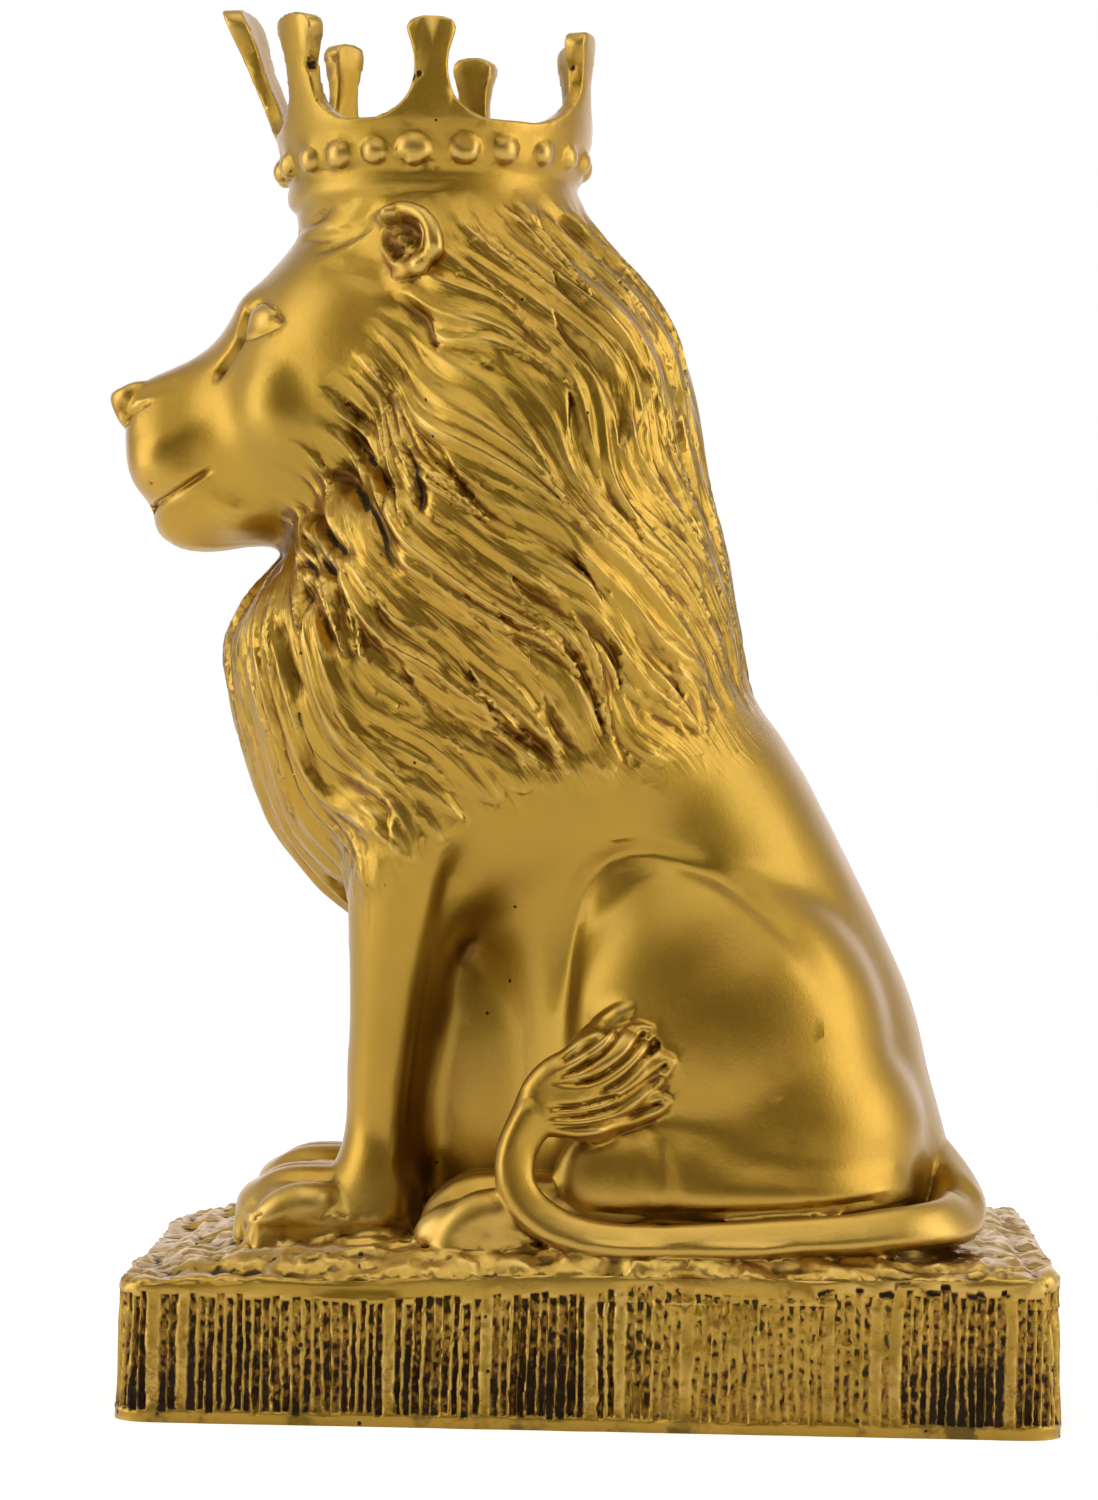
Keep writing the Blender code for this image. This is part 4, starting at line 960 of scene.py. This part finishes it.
# The ears are hollowed towards the front: middle and way of the hollow on the near side, its depth,
# how far it goes along that way, half widths in front and behind, and half height
EAR_MIDDLE = (42.5, -52.6, 298.0)
EAR_WAY = (0.8, -0.58, 0.1)
EAR_DEPTH = 5.4
EAR_REACH = 8
EAR_FRONT, EAR_BEHIND, EAR_HEIGHT = 8.0, 6.6, 7.0
for side in SIDES:
    middle, way = (np.array(mirrored(side, line)[0]) for line in (EAR_MIDDLE, EAR_WAY))
    way /= np.linalg.norm(way)
    gap = points - middle
    inward = gap @ way
    level = gap - inward[:, None] * way
    wide = np.where(level[:, 1] < 0, EAR_FRONT, EAR_BEHIND)
    reach = np.sqrt((level[:, :2] ** 2).sum(1) / wide ** 2 + level[:, 2] ** 2 / EAR_HEIGHT ** 2)
    push = EAR_DEPTH * (1 - smooth_step(0.4, 1.0, reach)) * (np.abs(inward) < EAR_REACH)
    push *= 1 + 0.32 * soft_noise(points, 2.2, 61) + 0.15 * soft_noise(points, 1.0, 62)
    points -= push[:, None] * way
skin.vertices.foreach_set("co", (points * MM).ravel())
skin.update()

# Fewer faces, then the underside is cut flat
PIECE_FACES = 190000
statue = bpy.data.objects.new("statue", skin)
bpy.context.scene.collection.objects.link(statue)
thin = statue.modifiers.new("Fewer faces", "DECIMATE")
thin.ratio = PIECE_FACES / (2 * len(skin.polygons))
skin = bpy.data.meshes.new_from_object(statue.evaluated_get(bpy.context.evaluated_depsgraph_get()))
bpy.data.objects.remove(statue)
trimmed = bmesh.new()
trimmed.from_mesh(skin)
cut = bmesh.ops.bisect_plane(trimmed, geom=list(trimmed.verts) + list(trimmed.edges) + list(trimmed.faces),
                             plane_co=(0, 0, 0), plane_no=(0, 0, 1), clear_inner=True)
bmesh.ops.contextual_create(trimmed, geom=[e for e in cut["geom_cut"] if isinstance(e, bmesh.types.BMEdge)])
bmesh.ops.triangulate(trimmed, faces=trimmed.faces)
bmesh.ops.translate(trimmed, verts=trimmed.verts, vec=(0, ORIGIN_SHIFT * MM, 0))
mesh = bpy.data.meshes.new("lion_casting")
trimmed.to_mesh(mesh)
trimmed.free()
mesh.shade_smooth()
mesh.set_sharp_from_angle(angle=math.radians(70))
statue = bpy.data.objects.new("lion_casting", mesh)
bpy.context.scene.collection.objects.link(statue)


# The gold paint is rubbed over a dark wash; painted shade darkens its hollows and a painted sheen
# lightens it low down. What the wash, the painted shade and the paler ridges follow is worked out at
# each point of the skin and kept on the mesh: hollows, hair, scored lines, pinholes and spots of shade.

def keep_value(name, value):
    """Keeps a number at each point of the statue for the paint."""
    layer = mesh.attributes.new(name, "FLOAT", "POINT")
    layer.data.foreach_set("value", value.astype(np.float32))


place, facing, joined = read_skin(mesh)
ends, others = joined
# Large faces look hollower than they are, so a hollow counts for less where edges are longer than this
FINE_EDGE = 1.6
edge_squares = ((place[ends] - place[others]) ** 2).sum(1)
coarse = np.bincount(ends, weights=edge_squares, minlength=len(place))
coarse = coarse / np.bincount(ends, minlength=len(place))
for _ in range(8):
    coarse = 0.3 * coarse + 0.7 * neighbour_mean(coarse, joined)
coarse = np.maximum(coarse / FINE_EDGE ** 2, 1)
# The hollows set the painted shade, the paler ridges and, on the plinth, its black wash
# Rounds of smoothing, and the depth in millimetres that counts as fully hollow
HOLLOWS = (("fine_hollow", 4, 0.45), ("broad_hollow", 30, 1.6))
spread = place.copy()
for name, rounds, full in HOLLOWS:
    for _ in range(rounds):
        for axis in range(3):
            spread[:, axis] = 0.5 * spread[:, axis] + 0.5 * neighbour_mean(spread[:, axis], joined)
    hollow = ((spread - place) * facing).sum(1) / (full * coarse)
    keep_value(name, np.clip(hollow, -1, 1))

# Where each point lies across and along the hair, for the finest strands of the paint's relief
place = place - (0, ORIGIN_SHIFT, 0)
x, y, z = place.T
across, along, left, crowd, outside = read_map(grid, mane_girth(x, y), z).T
in_mane = (z > MAP_FLOOR + 1) * (z < MAP_CEILING - 2)
keep_value("hair_across", hair_bend(across, along, np.sign(x)))
keep_value("hair_along", along)
keep_value("hair", (1 - smooth_step(0, 2, outside)) * smooth_step(0, 14, along) * in_mane)
keep_value("score_wash", scored(place)[-1] * (z < PLINTH_TOP))

pinhole = np.zeros(len(place))
for hole_y, hole_z, radius, depth in HOLES:
    if depth > 1:
        gap = (y - hole_y) ** 2 + (z - hole_z) ** 2
        pinhole = np.maximum(pinhole, (x > 0) * (facing[:, 0] > -0.2) * np.exp(-gap / radius ** 2))
keep_value("pinhole", pinhole)

deep_wash = np.zeros(len(place))
for _, width, line in DEEP_STROKES:
    gap, share = near_line(place[:, 1:], line, 3 * width)
    taper = np.sin(np.pi * np.clip((share - 0.15) / 0.85, 0, 1)) ** 0.5
    deep_wash = np.maximum(deep_wash, np.exp(-(gap / (0.75 * width)) ** 2) * taper)
keep_value("deep_wash", deep_wash)

# Painted shade darkens the nose leather and the ears' hollows, as y, z and radius
SHADE_SPOTS = ((-128.6, 256.8, 2.6), (-54.5, 297.0, 5.0))
brown_spot = np.zeros(len(place))
for spot_y, spot_z, radius in SHADE_SPOTS:
    gap = (y - spot_y) ** 2 + (z - spot_z) ** 2
    brown_spot = np.maximum(brown_spot, (np.abs(x) > 3) * np.exp(-gap / radius ** 2))
keep_value("brown_spot", brown_spot)


class Number:
    """The result of a node in a paint, which adds, subtracts, multiplies and divides."""

    def __init__(self, paint, socket):
        self.paint = paint
        self.socket = socket

    def maths(self, operation, first, second):
        return self.paint.node("ShaderNodeMath", {"operation": operation}, {0: first, 1: second})

    def __add__(self, other):
        return self.maths("ADD", self, other)

    __radd__ = __add__

    def __sub__(self, other):
        return self.maths("SUBTRACT", self, other)

    def __rsub__(self, other):
        return self.maths("SUBTRACT", other, self)

    def __mul__(self, other):
        return self.maths("MULTIPLY", self, other)

    __rmul__ = __mul__

    def __truediv__(self, other):
        return self.maths("DIVIDE", self, other)


class Paint:
    """The nodes of one material, or of the room's light, up to its closing shader."""

    def __init__(self, painted, shader="Principled BSDF"):
        painted.use_nodes = True
        self.tree = painted.node_tree
        self.shader = self.tree.nodes[shader].inputs

    def node(self, kind, settings, inputs, output=0):
        """A node of any kind: its settings first, then its inputs as values or links."""
        made = self.tree.nodes.new(kind)
        for name, value in settings.items():
            if name == "stops":
                made.color_ramp.interpolation = "EASE"
                stops = made.color_ramp.elements
                stops[0].position, stops[0].color = value[0]
                stops[1].position, stops[1].color = value[-1]
                for place, colour in value[1:-1]:
                    stops.new(place).color = colour
            else:
                setattr(made, name, value)
        for name, value in inputs.items():
            self.put(made.inputs[name], value)
        return Number(self, made.outputs[output])

    def put(self, socket, value):
        """Links a number to a socket or sets the socket's own value."""
        if isinstance(value, Number):
            self.tree.links.new(value.socket, socket)
        else:
            socket.default_value = value

    def between(self, value, low, high, first=0.0, last=1.0):
        """Smooth change from first to last as the value goes from low to high."""
        return self.node("ShaderNodeMapRange", {"interpolation_type": "SMOOTHSTEP"},
                         {"Value": value, "From Min": low, "From Max": high, "To Min": first, "To Max": last})

    def kept(self, name):
        """Number kept at each point of the skin under a name."""
        return self.node("ShaderNodeAttribute", {"attribute_name": name}, {}, "Fac")

    def noise(self, place, scale, detail=2.0, rough=0.5):
        """Soft clouds from 0 to 1, as many a metre as the scale says."""
        return self.node("ShaderNodeTexNoise", {}, {"Vector": place, "Scale": scale, "Detail": detail,
                                                    "Roughness": rough})

    def blend(self, factor, first, second):
        """Colour from first to second."""
        return self.node("ShaderNodeMix", {"data_type": "RGBA"}, {0: factor, 6: first, 7: second}, 2)


GOLD = (0.368, 0.215, 0.026, 1)
GREEN_GOLD = (0.325, 0.198, 0.022, 1)
PALE_GOLD = (0.50, 0.330, 0.085, 1)
# Brown gold of the painted shade in the hollows, and of the wash rubbed in beside the plinth's lines
SHADE_AND_WASH_GOLD = (0.150, 0.066, 0.005, 1)
WASH = (0.026, 0.014, 0.005, 1)
# Roughness of the satin paint, and how much longer than wide the finest strands are
SATIN = 0.39
STRAND_STRETCH = 16.0
gold_paint = bpy.data.materials.new("gold_paint")
gold = Paint(gold_paint)
where = gold.node("ShaderNodeTexCoord", {}, {}, "Object")
height = gold.node("ShaderNodeSeparateXYZ", {}, {"Vector": where}, "Z")
fine = gold.kept("fine_hollow")
broad = gold.kept("broad_hollow")
cloud = gold.noise(where, 22.0, 3.0)
patch = gold.noise(where, 55.0, 4.0, 0.6)
grain = gold.noise(where, 850.0, 2.0, 0.6)
flake = gold.noise(where, 2400.0, 1.0)
on_plinth = gold.between(height, 0.037, 0.047, 1.0, 0.0)

# Painted shade browns the hollows and the hair; the wash is thick and black in the plinth's scored lines
low = gold.between(height, 0.046, 0.062, 1.0, 0.0)
fine_shade = gold.between(fine, 0.08, 0.75, 0.0, 0.75)
shade = fine_shade + gold.between(broad, 0.25, 0.95, 0.0, 0.65) * (1.0 - 0.8 * low)
hair = gold.kept("hair")
hair_place = gold.node("ShaderNodeCombineXYZ", {}, {"X": gold.kept("hair_across"),
                                                    "Y": gold.kept("hair_along") / STRAND_STRETCH})
strand = gold.noise(hair_place, 0.8, 2.0, 0.55)
spot = gold.kept("brown_spot")
# Painted shade also falls between the finest strands of the hair, on the nose leather and in the ears
shade = shade * (1.0 - 0.5 * on_plinth) + gold.between(strand, 0.46, 0.30) * hair * 0.45 + 0.7 * spot
deep_wash = gold.kept("deep_wash")
scored_wash = gold.kept("score_wash")
pinhole = gold.kept("pinhole")
grit = gold.noise(where, 640.0, 3.0, 0.65)
soot = gold.between(scored_wash + 0.5 * (patch - 0.5) + 1.5 * (grit - 0.5), 0.25, 0.85) * on_plinth * 0.92
rub = gold.between(scored_wash + 0.6 * (grit - 0.5), 0.02, 0.36) * on_plinth
dirt = gold.between(fine + 0.8 * (patch - 0.5), 0.20, 0.80) * on_plinth * 0.8
foot = gold.between(height, 0.002, 0.012, 1.0, 0.0) * gold.between(patch, 0.48, 0.62) * 0.6
pit_gap = gold.node("ShaderNodeTexVoronoi", {}, {"Vector": where, "Scale": 58.0}, "Distance")
pit = gold.between(pit_gap, 0.022, 0.036, 1.0, 0.0)
speck_gap = gold.node("ShaderNodeTexVoronoi", {}, {"Vector": where, "Scale": 150.0}, "Distance")
speck = gold.between(speck_gap, 0.07, 0.12, 1.0, 0.0) * on_plinth * gold.between(cloud, 0.45, 0.55)
sunk = gold.between(deep_wash * gold.between(fine + broad, -0.4, 0.3), 0.35, 0.85) * 0.92
black = gold.between(soot + dirt + foot + pit + speck + sunk + gold.between(pinhole, 0.3, 0.6), 0.0, 1.0)
base = gold.blend(gold.between(cloud, 0.35, 0.65), GOLD, GREEN_GOLD)
# Ridges are paler, and a painted sheen lightens the plinth's top and the lowest parts of the lion
painted_sheen_low = low * gold.between(height, 0.034, 0.040) * 0.4
paler_ridges_and_sheen = gold.blend(gold.between(fine, -0.1, -0.8, 0.0, 0.6) + painted_sheen_low, base, PALE_GOLD)
# Painted shade, and the wash rubbed in beside the plinth's lines, turn the gold brown
brown = gold.blend(gold.between(shade + 0.6 * rub, 0.0, 1.0), paler_ridges_and_sheen, SHADE_AND_WASH_GOLD)
gold.put(gold.shader["Base Color"], gold.blend(black, brown, WASH))
gold.put(gold.shader["Metallic"], 1.0 - 0.25 * black)
uneven = SATIN + 0.10 * (cloud - 0.5) + 0.10 * (grain - 0.5)
gold.put(gold.shader["Roughness"], uneven + 0.30 * black + 0.1 * shade - 0.05 * hair)
relief = grain * 0.40 + flake * 0.30 - 2.5 * (pit + speck) + 4.2 * strand * hair + 3.0 * grit * rub
bump = gold.node("ShaderNodeBump", {}, {"Strength": 0.3, "Distance": 0.0003, "Height": relief})
gold.put(gold.shader["Normal"], bump)
gold.put(gold.shader["Coat Weight"], 0.22 - 0.22 * black)
gold.put(gold.shader["Coat Roughness"], 0.2)
mesh.materials.append(gold_paint)

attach(statue, "root")
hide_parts("lion_statue")


# The floor is a plain pale sheet of matt paper that runs far past the view. It isn't part of the
# statue.

FLOOR_HALF = 6.0
FLOOR_WHITE = (0.86, 0.86, 0.87, 1)
FLOOR_GLOW = 0.32
floor_mesh = bpy.data.meshes.new("floor")
sheet = bmesh.new()
bmesh.ops.create_grid(sheet, x_segments=1, y_segments=1, size=FLOOR_HALF)
sheet.to_mesh(floor_mesh)
sheet.free()
floor = bpy.data.objects.new("floor", floor_mesh)
bpy.context.scene.collection.objects.link(floor)
pale_floor = bpy.data.materials.new("pale_floor")
pale = Paint(pale_floor)
pale.put(pale.shader["Base Color"], FLOOR_WHITE)
pale.put(pale.shader["Roughness"], 0.8)
pale.put(pale.shader["Emission Color"], (1, 1, 1, 1))
pale.put(pale.shader["Emission Strength"], FLOOR_GLOW)
floor_mesh.materials.append(pale_floor)


# The light is soft. White screens stand at both sides and hang above, the walls beside and behind the
# statue are bright, and the room behind the camera is dim. Their places are in metres.

BEHIND_STATUE = (1.50, 1.46, 1.62, 1)
REAR_WALL = (0.66, 0.62, 0.60, 1)
SIDE_WALL = (0.98, 0.94, 0.88, 1)
BEHIND_CAMERA = (0.115, 0.075, 0.038, 1)
SCREEN_WHITE = (1.0, 1.0, 1.0, 1)
# Colour of the room from straight behind the statue, at 0, to straight behind the camera, at 1
ROOM_STOPS = [
    (0.05, BEHIND_STATUE), (0.24, REAR_WALL), (0.46, SIDE_WALL), (0.62, SIDE_WALL), (0.97, BEHIND_CAMERA),
]
world = bpy.data.worlds.new("studio")
bpy.context.scene.world = world
room = Paint(world, "Background")
away = room.node("ShaderNodeTexCoord", {}, {}, "Generated")
to_camera = room.node("ShaderNodeSeparateXYZ", {}, {"Vector": away}, "X")
share = room.node("ShaderNodeMapRange", {}, {"Value": to_camera, "From Min": -1})
light = room.node("ShaderNodeValToRGB", {"stops": ROOM_STOPS}, {"Fac": share})
# Seen straight, the room is a white backdrop from every side
seen = room.node("ShaderNodeLightPath", {}, {}, "Is Camera Ray")
room.put(room.shader["Color"], room.blend(seen, light, SCREEN_WHITE))
room.put(room.shader["Strength"], 1.0)
bpy.context.scene.view_settings.view_transform = "Standard"


def add_screen(name, place, aim, width, height, power):
    """Soft white rectangular light that faces a point."""
    data = bpy.data.lights.new(name, "AREA")
    data.shape = "RECTANGLE"
    data.size = width
    data.size_y = height
    data.energy = power
    lamp = bpy.data.objects.new(name, data)
    lamp.location = place
    lamp.rotation_euler = (Vector(aim) - Vector(place)).to_track_quat("-Z", "Y").to_euler()
    bpy.context.scene.collection.objects.link(lamp)


CHEST = (0, 0, 0.18)
add_screen("left_screen", (0.35, -1.2, 0.5), CHEST, width=0.8, height=1.2, power=7)
add_screen("right_screen", (0.35, 1.2, 0.5), CHEST, width=0.8, height=1.2, power=7)
add_screen("top_screen", (0.6, 0, 1.25), CHEST, width=1.2, height=1.2, power=5)


# The camera stands level with the lion's chest, a little over a metre off its left side, with a
# long lens. The statue is turned by two degrees from square to it.

CAMERA_DISTANCE = 1.062
CAMERA_HEIGHT = 0.1725
CAMERA_FORWARD = 0.014
STATUE_TURN = math.radians(2.1)
TILT = math.radians(0.25)
ROLL = math.radians(0.85)
LENS_LENGTH = 96
SENSOR_WIDTH = 36
turn = Matrix.Rotation(STATUE_TURN, 3, "Z")
lens = bpy.data.cameras.new("camera")
lens.lens = LENS_LENGTH
lens.sensor_width = SENSOR_WIDTH
lens.clip_start = 0.01
camera = bpy.data.objects.new("camera", lens)
from_plinth = Vector((CAMERA_DISTANCE, -CAMERA_FORWARD, CAMERA_HEIGHT))
camera.location = turn @ from_plinth + Vector((0, ORIGIN_SHIFT * MM, 0))
aim = turn @ Vector((-math.cos(TILT), 0, -math.sin(TILT)))
camera.rotation_mode = "QUATERNION"
camera.rotation_quaternion = aim.to_track_quat("-Z", "Y") @ Quaternion((0, 0, 1), ROLL)
bpy.context.scene.collection.objects.link(camera)
bpy.context.scene.camera = camera

bpy.context.view_layer.update()
